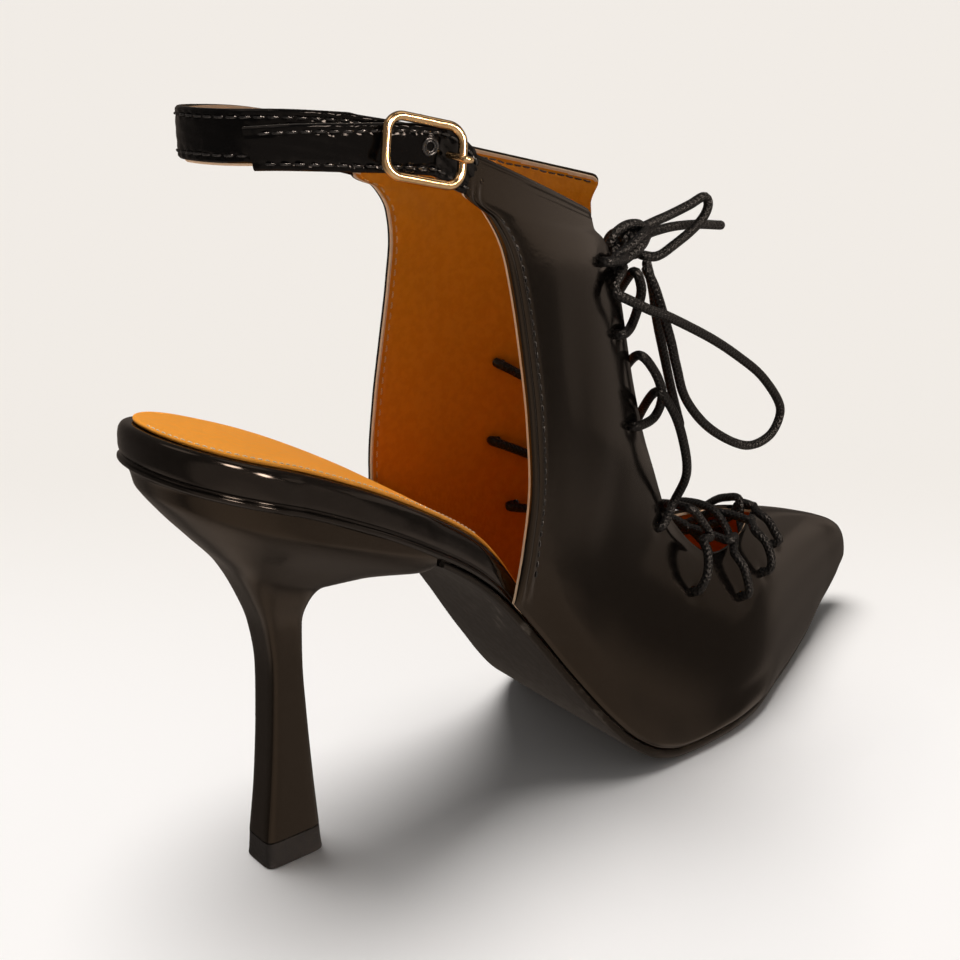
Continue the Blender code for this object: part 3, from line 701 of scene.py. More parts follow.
@dataclass(frozen=True)
class Finish:
    """Finish of one material: its colours, its gloss and its surface effects.

    Grain and crinkle each give a scale and a depth, and a braid its pitch, strands and depth.
    """

    name: str
    colour: Colour
    second: Colour
    rough: Span
    specular: float = 0.5
    tint: Colour = (1.0, 1.0, 1.0)
    coat: float = 0.0
    coat_rough: float = 0.1
    metallic: float = 0.0
    grain: Span = (1500.0, 0.0)
    crinkle: Span | None = None
    wear_scale: float = 120.0
    wear: float = 0.0
    wear_colour: Colour = (0.1, 0.09, 0.08)
    braid: Point | None = None

    def build(self, effects: Effects) -> Material:
        """Make the material.

        Args:
            effects: The shared node groups.

        Returns:
            The material.
        """
        material, shader = new_material(self.name)
        nodes = NodeBench(material.node_tree)
        fill(shader, {"Metallic": self.metallic, "Specular IOR Level": self.specular,
                      "Specular Tint": (*self.tint, 1.0), "Coat Weight": self.coat,
                      "Coat Roughness": self.coat_rough})
        scale, depth = self.grain
        grain = self.effect(nodes, effects.grain, Scale=scale)
        mask = grain.outputs["Mask"]
        if self.braid:
            pitch, strands, braid_depth = self.braid
            braid = self.effect(nodes, effects.braid, Pitch=pitch, Strands=strands)
            mask = braid.outputs["Mask"]
        colour = nodes.mix(mask, self.colour, self.second)
        if self.wear:
            wear = self.effect(nodes, effects.wear, Scale=self.wear_scale)
            share = nodes.math("MULTIPLY", wear.outputs["Mask"], self.wear)
            worn = nodes.mix(share, self.colour, self.wear_colour)
            nodes.link(colour, worn.node.inputs[6])
            colour = worn
        nodes.link(colour, shader.inputs["Base Color"])
        nodes.link(nodes.spread(mask, 0.0, 1.0, *self.rough), shader.inputs["Roughness"])
        normal = self.relief(nodes, grain.outputs["Height"], depth, None)
        if self.crinkle:
            scale, depth = self.crinkle
            crinkle = self.effect(nodes, effects.crinkle, Scale=scale)
            normal = self.relief(nodes, crinkle.outputs["Height"], depth, normal)
        if self.braid:
            normal = self.relief(nodes, braid.outputs["Height"], braid_depth, normal)
        nodes.link(normal, shader.inputs["Normal"])
        return material

    def effect(self, nodes: NodeBench, group: Tree, **values: float) -> Node:
        """Place a shared effect in the material.

        Args:
            nodes: The material's node bench.
            group: The effect.
            values: Its inputs.

        Returns:
            The group's node.
        """
        node = nodes.add("Group", node_tree=group)
        fill(node, values)
        return node

    def relief(self, nodes: NodeBench, height: Socket, depth: float,
               under: Socket | None) -> Socket:
        """Raise the surface by a height.

        Args:
            nodes: The material's node bench.
            height: Height from 0 to 1.
            depth: What a height of 1 stands for, in millimetres.
            under: The normal that this relief lies on.

        Returns:
            The raised surface's normal.
        """
        node = nodes.add("Bump")
        node.inputs["Distance"].default_value = depth * MM
        nodes.link(height, node.inputs["Height"])
        if under:
            nodes.link(under, node.inputs["Normal"])
        return node.outputs["Normal"]


def sewing_thread(name: str, colour: Colour, second: Colour, rough: Span) -> Finish:
    """Finish of a twisted sewing thread."""
    return Finish(name, colour, second, rough, grain=(4000.0, 0.05), braid=(0.5, 2.0, 0.06))


WARM = (1.0, 0.80, 0.60)
BLACK = (0.0045, 0.0036, 0.0030)
SOFT_BLACK = (0.0060, 0.0048, 0.0040)
# The lining's ochre is a darker copy of the sock's: painted shade on the upright lining, which the light
# from above reaches less.
SHADED_OCHRE = (0.56, 0.180, 0.002)
SHADED_OCHRE_PALE = (0.61, 0.205, 0.004)
RAW_TAN = (0.62, 0.42, 0.26)

UPPER_LEATHER = Finish(
    "upper_leather", BLACK, SOFT_BLACK, (0.13, 0.15), tint=WARM, grain=(1400.0, 0.004),
    crinkle=(800.0, 0.016))
STRAP_LEATHER = Finish(
    "strap_leather", (0.0030, 0.0029, 0.0030), (0.0036, 0.0034, 0.0034), (0.10, 0.14),
    tint=(1.0, 0.96, 0.93), specular=0.15, grain=(700.0, 0.012), crinkle=(420.0, 0.34))
HOLE_RING = Finish(
    "hole_ring", (0.020, 0.020, 0.021), (0.030, 0.030, 0.031), (0.16, 0.22), specular=0.6, coat=0.4,
    coat_rough=0.06)
PALE_THREAD = Finish(
    "pale_thread", (0.72, 0.56, 0.36), (0.82, 0.68, 0.48), (0.6, 0.5), grain=(4000.0, 0.05))
EDGE_PAINT = Finish(
    "edge_paint", (0.030, 0.026, 0.023), (0.045, 0.040, 0.035), (0.42, 0.55), specular=0.4,
    grain=(2500.0, 0.02))
RIM_LEATHER = Finish(
    "rim_leather", BLACK, SOFT_BLACK, (0.10, 0.13), tint=(1.0, 0.9, 0.82), specular=0.40,
    grain=(600.0, 0.006), crinkle=(130.0, 0.10))
HEEL_COVER = Finish(
    "heel_cover", BLACK, SOFT_BLACK, (0.13, 0.15), tint=WARM, grain=(900.0, 0.003),
    crinkle=(70.0, 0.04))
LINING = Finish(
    "ochre_lining", SHADED_OCHRE, SHADED_OCHRE_PALE, (0.40, 0.50), specular=0.2, grain=(1100.0, 0.03),
    crinkle=(140.0, 0.10))
# The sock's ochre is a lighter copy of the lining's: painted light on its top, which faces the light from
# above.
LIT_SOCK_LINING = Finish(
    "lit_ochre_sock", (0.86, 0.320, 0.032), (0.92, 0.350, 0.040), (0.5, 0.6), specular=0.2,
    grain=(1200.0, 0.02))
RAW_EDGE = Finish(
    "raw_edge", RAW_TAN, (0.56, 0.38, 0.25), (0.7, 0.85), specular=0.2, grain=(2500.0, 0.05))
SOLE_RUBBER = Finish(
    "sole_rubber", (0.0080, 0.0066, 0.0056), (0.0095, 0.0080, 0.0066), (0.30, 0.34), tint=WARM,
    specular=0.22, grain=(900.0, 0.004), wear=0.70, wear_scale=90.0, wear_colour=(0.10, 0.085, 0.07))
TIP_RUBBER = Finish(
    "tip_rubber", (0.010, 0.009, 0.009), (0.016, 0.014, 0.013), (0.40, 0.52), specular=0.4,
    grain=(1500.0, 0.02), wear=0.3, wear_scale=300.0)
GOLD = Finish(
    "gold_metal", (0.74, 0.51, 0.26), (0.80, 0.58, 0.32), (0.13, 0.17), metallic=1.0,
    grain=(2500.0, 0.004))
CORD = Finish(
    "waxed_cord", (0.0030, 0.0030, 0.0030), (0.0065, 0.0065, 0.0065), (0.40, 0.28), specular=0.32,
    grain=(3000.0, 0.02), braid=(1.3, 5.0, 0.18))
WAXED_THREAD = Finish(
    "waxed_thread", (0.012, 0.011, 0.011), (0.02, 0.019, 0.018), (0.20, 0.14), specular=0.7,
    grain=(4000.0, 0.02))
BLACK_THREAD = sewing_thread("black_thread", (0.008, 0.007, 0.007), (0.02, 0.019, 0.018), (0.45, 0.30))
TAN_THREAD = sewing_thread("tan_thread", (0.50, 0.25, 0.07), (0.64, 0.36, 0.13), (0.6, 0.5))
BROWN_THREAD = sewing_thread("brown_thread", (0.030, 0.014, 0.006), (0.060, 0.030, 0.012), (0.6, 0.5))


class Wardrobe:
    """The shoe's materials, each built once."""

    def __init__(self) -> None:
        """Build the shared effects."""
        self.effects = Effects()
        self.built: dict[str, Material] = {}

    def get(self, finish: Finish) -> Material:
        """The material of a finish."""
        if finish.name not in self.built:
            self.built[finish.name] = finish.build(self.effects)
        return self.built[finish.name]


@dataclass
class Assembly:
    """Pieces of the shoe that are built together."""

    bench: Bench
    wardrobe: Wardrobe

    def gathered(self, shapes: Joined, name: str, finish: Finish, slot: Slot, *nodes: str) -> Piece:
        """Make gathered shapes one piece and hang it on the shoe.

        Args:
            shapes: The shapes.
            name: The piece's name.
            finish: Its finish.
            slot: The record's material slot that it follows.
            nodes: Solids that it stands for.

        Returns:
            The piece.
        """
        piece = self.bench.make(name, np.vstack(shapes.points), shapes.faces, [self.wardrobe.get(finish)],
                                uvs=np.vstack(shapes.uvs))
        return self.bench.settle(piece, slot, *nodes)

    def lofted(self, rings: Points, weld: float, name: str, finish: Finish, slot: Slot,
               node: str) -> None:
        """Skin closed rings, with flat ends, as one piece and hang it on the shoe.

        Args:
            rings: The rings' points.
            weld: Distance under which vertices are joined, in millimetres.
            name: The piece's name.
            finish: Its finish.
            slot: The record's material slot that it follows.
            node: The solid that it stands for.
        """
        rows, columns = rings.shape[:2]
        faces = grid_faces(rows, columns, close=True) + ring_caps(rows, columns)
        piece = self.bench.make(name, rings.reshape(-1, 3), faces, [self.wardrobe.get(finish)], weld=weld)
        self.bench.settle(piece, slot, node)


# The last's shape


# Instep line over the toe, the same for both sides
TOE_RIDGE = ((0, 239.9, 4.5, 19.5), (1, 239.0, 4.5, 22.4), (2, 236.8, 4.4, 25.6), (3, 232.6, 4.3, 28.8),
             (4, 225.4, 4.1, 32.4), (5, 215.0, 3.7, 36.6), (6, 205.0, 3.2, 40.2), (7, 196.0, 2.7, 43.0),
             (8, 189.0, 2.2, 44.9), (9, 182.0, 1.6, 46.6), (10, 175.0, 1.0, 48.0), (11, 169.0, 0.4, 49.2))


@dataclass(frozen=True)
class Last:
    """Shape of the shoe: the sole's outline and heights, and the upper's outer face."""

    gap: float = 0.3
    wall: float = 1.8
    footbed_length: float = 238.0
    heel_back: float = -1.3
    heel_round: float = 21.0
    toe_round: float = 12.0
    seat_drop: float = 1.0
    waist_section: float = 15.0
    top_section: float = 24.0
    flare: float = 1.02
    bottom: Table = Table("x feather thick", [
        (-2, 103.1, 10), (20, 95.4, 10), (40, 86.2, 10), (60, 74.2, 10), (72, 65.6, 10), (81, 57.2, 9.5),
        (90, 45.5, 8), (100, 30.6, 6.2), (108, 19.6, 5.2), (116, 11, 4.5), (124, 5.8, 4), (132, 3.5, 4),
        (140, 3.2, 4), (186, 3.2, 4), (205, 4.6, 4), (222, 8.4, 4), (238, 14, 4)])
    outline: Table = Table("x lateral medial", [
        (25, -23.4, 22.6), (40, -25, 23.6), (55, -24.3, 23.6), (70, -21.6, 22.6), (82, -20.2, 22.2),
        (92, -21.6, 21.6), (102, -25.6, 21.6), (112, -29.4, 23.6), (124, -31.4, 28), (138, -31.6, 33),
        (150, -31, 35.2), (162, -28.6, 34.4), (181, -20.6, 28.4), (207, -9.2, 17.4), (226, -0.8, 9.8),
        (238, 2.4, 7)])
    sole_edge: Table = Table("section lateral medial", [
        (0, 238, 238), (1, 237.4, 237.4), (2, 235.6, 235.6), (3, 232, 232), (4, 224, 224), (5, 212, 212),
        (6, 199, 199), (7, 187, 187), (8, 176, 176), (9, 165, 165), (10, 153, 152), (11, 139, 136),
        (12, 124, 118), (13, 108, 101), (14, 95, 86.6), (15, 83, 74)])
    back_lateral: Table = Table("section x y z", [
        (15, 83, -22.4, 55.4), (16, 84.8, -23.4, 69), (17, 85.8, -24.2, 84), (18, 84.4, -24.6, 101),
        (19, 81.6, -25, 118), (20, 78.6, -25.4, 132), (21, 75.6, -25.8, 142), (22, 70.2, -26.6, 150.2),
        (23, 63.6, -27.6, 156.2), (24, 65.4, -27.2, 163.8)])
    back_medial: Table = Table("section x y z", [
        (15, 74, 24.6, 64.3), (16, 74.2, 24.9, 79), (17, 76, 25.3, 95), (18, 78.6, 25.6, 110),
        (19, 81, 25.8, 124), (20, 82, 25.6, 134), (21, 81.2, 25.4, 141), (22, 78, 25.4, 147),
        (23, 72.4, 25.6, 151.2), (24, 73.4, 25.2, 160.8)])
    ridge_lateral: Table = Table("section x y z", [
        *TOE_RIDGE, (12, 164, 0, 51), (13, 160, 0, 53.6), (14, 157.5, 0, 57.4), (15, 154.5, 0, 62.8),
        (16, 149, 0, 73), (17, 142, 0, 87), (18, 137.4, 0, 102), (19, 134.8, 0, 116),
        (20, 133.2, 0, 126.4), (21, 132.8, -0.4, 130.4), (22, 132.8, -0.6, 132), (23, 132.8, -0.8, 133),
        (24, 132.8, -1, 133.8)])
    ridge_medial: Table = Table("section x y z", [
        *TOE_RIDGE, (12, 165, 0, 51), (13, 161.5, 0, 53.6), (14, 159, 0, 57.4), (15, 156.4, 0, 62.8),
        (16, 152.4, 0, 74), (17, 148.6, 0, 88), (18, 145.6, 0, 102), (19, 142.8, 0, 116),
        (20, 140.4, 0, 128), (21, 139, 0, 135), (22, 138, 0, 139), (23, 137.4, 0, 142),
        (24, 137, 0, 144.6)])
    panel: Table = Table("section full_lateral throat_lateral full_medial throat_medial", [
        (0, 0.7, 1, 0.7, 1), (3, 0.66, 1, 0.66, 1), (6, 0.58, 1, 0.6, 1), (7, 0.56, 1, 0.58, 1),
        (8, 0.55, 0.9, 0.57, 0.9), (9, 0.54, 0.8, 0.56, 0.8), (10, 0.53, 0.74, 0.55, 0.74),
        (12, 0.52, 0.68, 0.54, 0.68), (15, 0.54, 0.65, 0.55, 0.65), (17, 0.54, 0.64, 0.55, 0.66),
        (19, 0.46, 0.62, 0.54, 0.7), (21, 0.38, 0.57, 0.52, 0.75), (24, 0.32, 0.51, 0.54, 0.78)])

    def word(self, side: Side) -> str:
        """The side's column name."""
        return side.name.lower()

    def feather(self, x: Points | float) -> Points:
        """Height of the line where upper and sole meet."""
        return self.bottom.at("feather", x)

    def seat_height(self, p: Points) -> Points:
        """Footbed's thickness at points in plan, a little less on the inner side of the heel seat."""
        fade = 1 - smooth_step(40, 80, p[..., 0])
        inward = np.maximum(p[..., 1] / self.outline.at("medial", p[..., 0]), 0.0)
        return self.bottom.at("thick", p[..., 0]) - self.seat_drop * fade * inward

    def outline_point(self, side: Side, x: Points) -> Points:
        """Points on the footbed's plan outline.

        Args:
            side: The side of the foot.
            x: Places along the shoe.

        Returns:
            The points, at height 0.
        """
        lateral = self.outline.at("lateral", x)
        medial = self.outline.at("medial", x)
        middle = (lateral + medial) / 2
        back = np.clip((x - self.heel_back) / (self.heel_round - self.heel_back), 0.0, 1.0)
        middle = middle * back
        toe = np.clip((x - self.footbed_length + self.toe_round) / self.toe_round, 0.0, 1.0)
        share = np.sqrt(np.maximum((1 - (1 - back) ** 2) * (1 - toe ** 2), 0.0))
        half = (medial - lateral) / 2 * share
        return np.stack([x, middle + side.value * half, np.zeros_like(x)], axis=-1)

    def outline_offset(self, side: Side, x: Points, out: Points | float) -> Points:
        """Points at a distance out from the footbed's outline, square to it, in plan.

        Args:
            side: The side of the foot.
            x: Places along the shoe.
            out: The distance, less than 0 inward.

        Returns:
            The points, at height 0.
        """
        step = 0.05
        x = np.asarray(x, float)
        low = np.maximum(x - step, self.heel_back)
        high = np.minimum(x + step, self.footbed_length)
        along = self.outline_point(side, high) - self.outline_point(side, low)
        square = unit(np.stack([-side.value * along[..., 1], side.value * along[..., 0],
                                np.zeros_like(x)], axis=-1))
        square[x < self.heel_back + step] = (-1.0, 0.0, 0.0)
        square[x > self.footbed_length - step] = (1.0, 0.0, 0.0)
        return self.outline_point(side, x) + square * np.asarray(out, float)[..., None]

    def upper_edge(self, side: Side, section: Points) -> Points:
        """Lower or back edge of the upper's outer face.

        Args:
            side: The side of the foot.
            section: Sections of the upper.

        Returns:
            The edge's points.
        """
        x = self.sole_edge.at(self.word(side), section)
        low = self.outline_offset(side, x, np.full_like(x, self.gap + self.wall))
        inner = self.outline_offset(side, x, np.full_like(x, -self.gap))
        low[..., 2] = np.maximum(self.feather(low[..., 0]), self.feather(inner[..., 0])) + 2 * self.gap
        back = self.back_lateral if side is Side.LATERAL else self.back_medial
        return np.where((section > self.waist_section)[..., None], back.points(section), low)

    def arch(self, side: Side, section: Points, share: Points) -> Points:
        """Points on the upper's outer face.

        Args:
            side: The side of the foot.
            section: Section of each row.
            share: Shares of each row's arch, from 0 at the edge to 1 at the instep line.

        Returns:
            The points, row by row.
        """
        edge = self.upper_edge(side, section)[:, None]
        ridges = self.ridge_lateral if side is Side.LATERAL else self.ridge_medial
        ridge = ridges.points(section)[:, None]
        corner = ridge.copy()
        corner[..., 1] += (edge[..., 1] - ridge[..., 1]) * self.flare
        full = self.panel.at("full_" + self.word(side), section)[:, None]
        a = ((1 - share) ** 2)[..., None]
        b = (2 * full * share * (1 - share))[..., None]
        c = (share ** 2)[..., None]
        return (edge * a + corner * b + ridge * c) / (a + b + c)

    def throat(self, side: Side, section: Points | float) -> Points:
        """Share of each section's arch that the throat leaves standing."""
        return self.panel.at("throat_" + self.word(side), section)

    def spot(self, side: Side, section: float, share: float) -> tuple[Points, Points]:
        """One point on the upper's outer face.

        Args:
            side: The side of the foot.
            section: Its section.
            share: Its share of the arch.

        Returns:
            The point and the direction out of the leather.
        """
        step = 0.02
        rows = np.array([section - step, section, min(section + step, self.top_section)])
        shares = np.tile([share - step, share, share + step], (3, 1))
        p = self.arch(side, rows, shares)
        normal = np.cross(p[2, 1] - p[0, 1], p[1, 2] - p[1, 0]) * side.value
        return p[1, 1], unit(normal)


# Sole


@dataclass
class Sole(Assembly):
    """Footbed with its wrapped rim, the sock on it and the outsole under it."""

    last: Last
    footbed_end: float = 233.0
    sock_end: float = 228.0
    sock_thick: float = 0.8
    sock_seam: float = 0.5
    sock_seam_end: float = 74.0
    outsole_start: float = 62.0
    outsole_thick: float = 3.2
    weld: float = 0.01
    stations: int = 260

    def build(self) -> None:
        """Build and dress the three pieces."""
        self.build_footbed()
        self.build_sock()
        self.build_outsole()

    def places(self, start: float, end: float) -> Points:
        """Places along the sole, closer together at both ends."""
        t = np.linspace(0.0, 1.0, self.stations)
        eased = 0.25 * t + 0.75 * (1 - np.cos(np.pi * t)) / 2
        return start + (end - start) * eased

    def edge_row(self, side: Side, x: Points, inset: Points | float) -> Points:
        """Points inside the outline by a distance."""
        return self.last.outline_offset(side, x, -np.broadcast_to(inset, x.shape))

    def build_footbed(self) -> None:
        """Rim with a groove above its lower lip, rolled over at the top."""
        rim = Table("rise inset", [
        (0, 0.55), (0.03, 0.05), (0.08, -0.45), (0.14, -0.4), (0.18, 0.25), (0.22, 0.42), (0.27, 0.18),
        (0.4, -0.05), (0.6, 0), (0.78, 0.25), (0.9, 0.8), (0.97, 1.55), (1, 2.5)])
        rises = np.concatenate([np.linspace(0, 0.3, 16), np.linspace(0.34, 0.86, 10),
                                np.linspace(0.89, 1.0, 7)])
        roll = Table("x share", [(0, 1.0), (78, 1.0), (100, 0.08), (self.last.footbed_length, 0.08)])
        inside = Table("x inset", [(0, 0.0), (74, 0.0), (90, 2.0), (126, 2.0), (150, 1.0),
                                   (self.last.footbed_length, 0.8)])
        x = self.places(self.last.heel_back, self.footbed_end)
        rows = {}
        for side in Side:
            row = []
            for rise in rises:
                inset = rim.at("inset", rise) * roll.at("share", x) + inside.at("inset", x)
                p = self.edge_row(side, x, inset)
                p[:, 2] = self.last.feather(p[:, 0]) + self.last.gap
                p[:, 2] += rise * (self.last.seat_height(p) - self.last.gap)
                row.append(p)
            rows[side] = np.stack(row, axis=1)
        ring = self.closed_ring(rows[Side.LATERAL], rows[Side.MEDIAL])
        self.lofted(ring, self.weld, "footbed_rim", RIM_LEATHER, Slot.LEATHER, "footbed")

    def closed_ring(self, left: Points, right: Points) -> Points:
        """Rings from two side profiles, joined flat across the top and the bottom."""
        shares = np.linspace(0.2, 0.8, 4)[None, :, None]
        top = left[:, -1:] + (right[:, -1:] - left[:, -1:]) * shares
        base = right[:, :1] + (left[:, :1] - right[:, :1]) * shares
        return np.concatenate([base[:, 2:], left, top, right[:, ::-1], base[:, :2]], axis=1)

    def sheet(self, name: str, x: Points, out: Points, low: Callable[[Points], Points],
              high: Callable[[Points], Points], edge: Sequence[Span], finish: Finish, slot: Slot,
              node: str) -> None:
        """Layer of the sole with a rounded edge.

        Args:
            name: The piece's name.
            x: Places along it.
            out: Distance of its edge from the outline at each place.
            low: Height of its underside above the feather line, at points in plan.
            high: Height of its top.
            edge: Profile of its edge, as pairs of inset and rise from 0 to 1.
            finish: Its finish.
            slot: The record's material slot that it follows.
            node: The solid that it stands for.
        """
        sides = {}
        for side in Side:
            row = []
            for inset, rise in edge:
                p = self.edge_row(side, x, inset - out)
                under, over = low(p), high(p)
                p[:, 2] = self.last.feather(p[:, 0]) + under + (over - under) * rise
                row.append(p)
            sides[side] = np.stack(row, axis=1)
        rings = self.closed_ring(sides[Side.LATERAL], sides[Side.MEDIAL])
        for columns, height in ((range(2), low), (range(2 + len(edge), 6 + len(edge)), high),
                                (range(rings.shape[1] - 2, rings.shape[1]), low)):
            for k in columns:
                rings[:, k, 2] = self.last.feather(rings[:, k, 0]) + height(rings[:, k])
        self.lofted(rings, self.weld, name, finish, slot, node)

    def build_sock(self) -> None:
        """Ochre sock, glued on the footbed and soft at its edge."""
        edge = Table("x out", [(0, -3.5), (14, -2.5), (74, -2.2), (90, -4.4), (126, -4.4), (150, -3.4),
                               (self.sock_end, -2.6)])
        x = self.places(self.last.heel_back, self.sock_end)
        base = self.last.gap * 0.2

        def low(p: Points) -> Points:
            """Height of the sock's underside."""
            return self.last.seat_height(p) + base

        def high(p: Points) -> Points:
            """Height of the sock's top."""
            return self.last.seat_height(p) + self.last.gap + self.sock_thick

        profile = [(0.30, 0.0), (0.05, 0.2), (0.0, 0.5), (0.12, 0.8), (0.45, 0.96), (1.4, 1.0)]
        self.sheet("sock_cover", x, edge.at("out", x), low, high, profile, LIT_SOCK_LINING, Slot.LINING,
                   "sock")
        thread = Joined()
        x = np.linspace(self.last.heel_back, self.sock_seam_end, 160)
        path = self.edge_row(Side.LATERAL, x, self.sock_seam - edge.at("out", x))
        path[:, 2] = self.last.feather(path[:, 0]) + high(path)
        stitching = Stitching(pitch=1.6, length=1.2, radius=0.13, sink=0.05)
        stitching.sew(thread, path, np.tile([0.0, 0.0, 1.0], (len(path), 1)))
        self.gathered(thread, "sock_stitches", PALE_THREAD, Slot.LINING)

    def build_outsole(self) -> None:
        """Thin outsole, from the heel's front to the toe, with a bevelled edge."""
        edge = Table("x out", [(self.outsole_start, -1.2), (78, -1.0), (96, 1.1),
                               (self.last.footbed_length, 1.1)])
        x = self.places(self.outsole_start, self.last.footbed_length)
        thick = Table("x thick", [(self.outsole_start, 2.0), (76, 2.4), (96, self.outsole_thick),
                                  (self.last.footbed_length + 4.0, self.outsole_thick)])

        def low(p: Points) -> Points:
            """Height of the outsole's underside."""
            return -thick.at("thick", p[..., 0])

        def high(p: Points) -> Points:
            """Height of the outsole's top, on the feather line."""
            return np.zeros(p.shape[:-1])

        profile = [(2.2, 0.0), (1.0, 0.05), (0.35, 0.2), (0.05, 0.45), (0.0, 0.75), (0.2, 0.95),
                   (0.7, 1.0)]
        self.sheet("outsole_edge", x, edge.at("out", x), low, high, profile, SOLE_RUBBER, Slot.SOLE,
                   "outsole")


# Heel


@dataclass
class Heel(Assembly):
    """Heel block, covered in black, and its wearing tip."""

    last: Last
    centre_y: float = -1.5
    tip_height: float = 6.6
    weld: float = 0.004
    points: int = 120
    levels: int = 110
    shape: Table = Table("level back_x back_z front_x front_z half round_back round_front", [
        (0, -0.2, 102, 68.4, 75.4, 22, 2.2, 8), (1, 0.8, 98.6, 67, 71.6, 21.6, 2.2, 8),
        (2, 5.6, 91.6, 60.8, 67.8, 17.4, 2.4, 6), (3, 11.6, 84.4, 49.4, 68.4, 13, 2.8, 4),
        (4, 17.8, 76.8, 40, 68.4, 9.4, 3.4, 4), (5, 21.9, 68.6, 35.5, 65.2, 6.8, 4.6, 5),
        (6, 24.7, 60, 34.2, 60.2, 5.2, 6, 6), (7, 25.7, 50, 34.2, 50, 4.6, 6, 6),
        (8, 25.1, 37, 34.8, 37, 4.5, 6, 6), (9, 23.7, 21, 35.8, 21, 4.6, 6, 6),
        (10, 21.9, 6.9, 36.8, 6.9, 5, 6, 6)])

    def build(self) -> None:
        """Build and dress the block and the tip."""
        self.build_block()
        self.build_tip()

    def ring(self, level: float, grow: float = 0.0, height: float | None = None) -> Points:
        """Section of the heel: its halves are superellipses of their own squareness.

        Args:
            level: Level of the section, from 0 at the seat to 10 at the tip.
            grow: Distance that the section is widened by.
            height: Height of a level section, or None for the level's own slant.

        Returns:
            The section's points.
        """
        row = {name: float(self.shape.at(name, level)) for name in self.shape.values}
        back, front = row["back_x"] - grow, row["front_x"] + grow
        angle = 2 * np.pi * (np.arange(self.points) + 0.5) / self.points
        cos, sin = np.cos(angle), np.sin(angle)
        power = 2 / np.where(cos > 0, row["round_front"], row["round_back"])
        x = (back + front) / 2 + (front - back) / 2 * np.sign(cos) * np.abs(cos) ** power
        y = (row["half"] + grow) * np.sign(sin) * np.abs(sin) ** power
        y += self.centre_y * min(1.0, level / 5)
        if height is None:
            flat = row["back_z"] + (row["front_z"] - row["back_z"]) * (x - back) / (front - back)
            z = self.last.feather(x) + (flat - self.last.feather(x)) * min(1.0, level)
        else:
            z = np.full_like(x, height)
        return np.stack([x, y, z], axis=-1)

    def build_block(self) -> None:
        """Block from the seat down to the tip, with a small round at its lower edge."""
        last = self.shape.places[-1]
        rings = [self.ring(level) for level in np.linspace(0.0, last, self.levels)]
        rings.append(self.ring(last, -0.25, float(self.shape.at("back_z", last)) - 0.12))
        self.lofted(np.stack(rings), self.weld, "heel_block", HEEL_COVER, Slot.HEEL, "heel")

    def build_tip(self) -> None:
        """Wearing tip, flat on the floor."""
        last = self.shape.places[-1]
        profile = [(self.tip_height, -0.30), (self.tip_height - 0.15, 0.0), (4.0, 0.12), (1.4, 0.30),
                   (0.5, 0.42), (0.2, 0.36), (0.0, 0.1)]
        rings = [self.ring(last, grow, height) for height, grow in profile]
        self.lofted(np.stack(rings), self.weld, "heel_tip", TIP_RUBBER, Slot.TIP, "top_piece")


# Upper


@dataclass(frozen=True)
class Crease:
    """Soft trough with ridges beside it, placed on the upper."""

    middle: Point
    direction: Point
    length: float
    width: float
    depth: float

    def height(self, p: Points) -> Points:
        """How far the crease moves each point out of the leather's face.

        Args:
            p: Points on the leather's face.

        Returns:
            The height at each point.
        """
        away = p - np.array(self.middle)
        ahead = unit(np.array(self.direction))
        along = away @ ahead
        across = np.linalg.norm(away - along[..., None] * ahead, axis=-1) / self.width
        fade = np.exp(-across ** 2) * np.exp(-((along / self.length) ** 2))
        return -self.depth * (1 - across ** 2) * fade


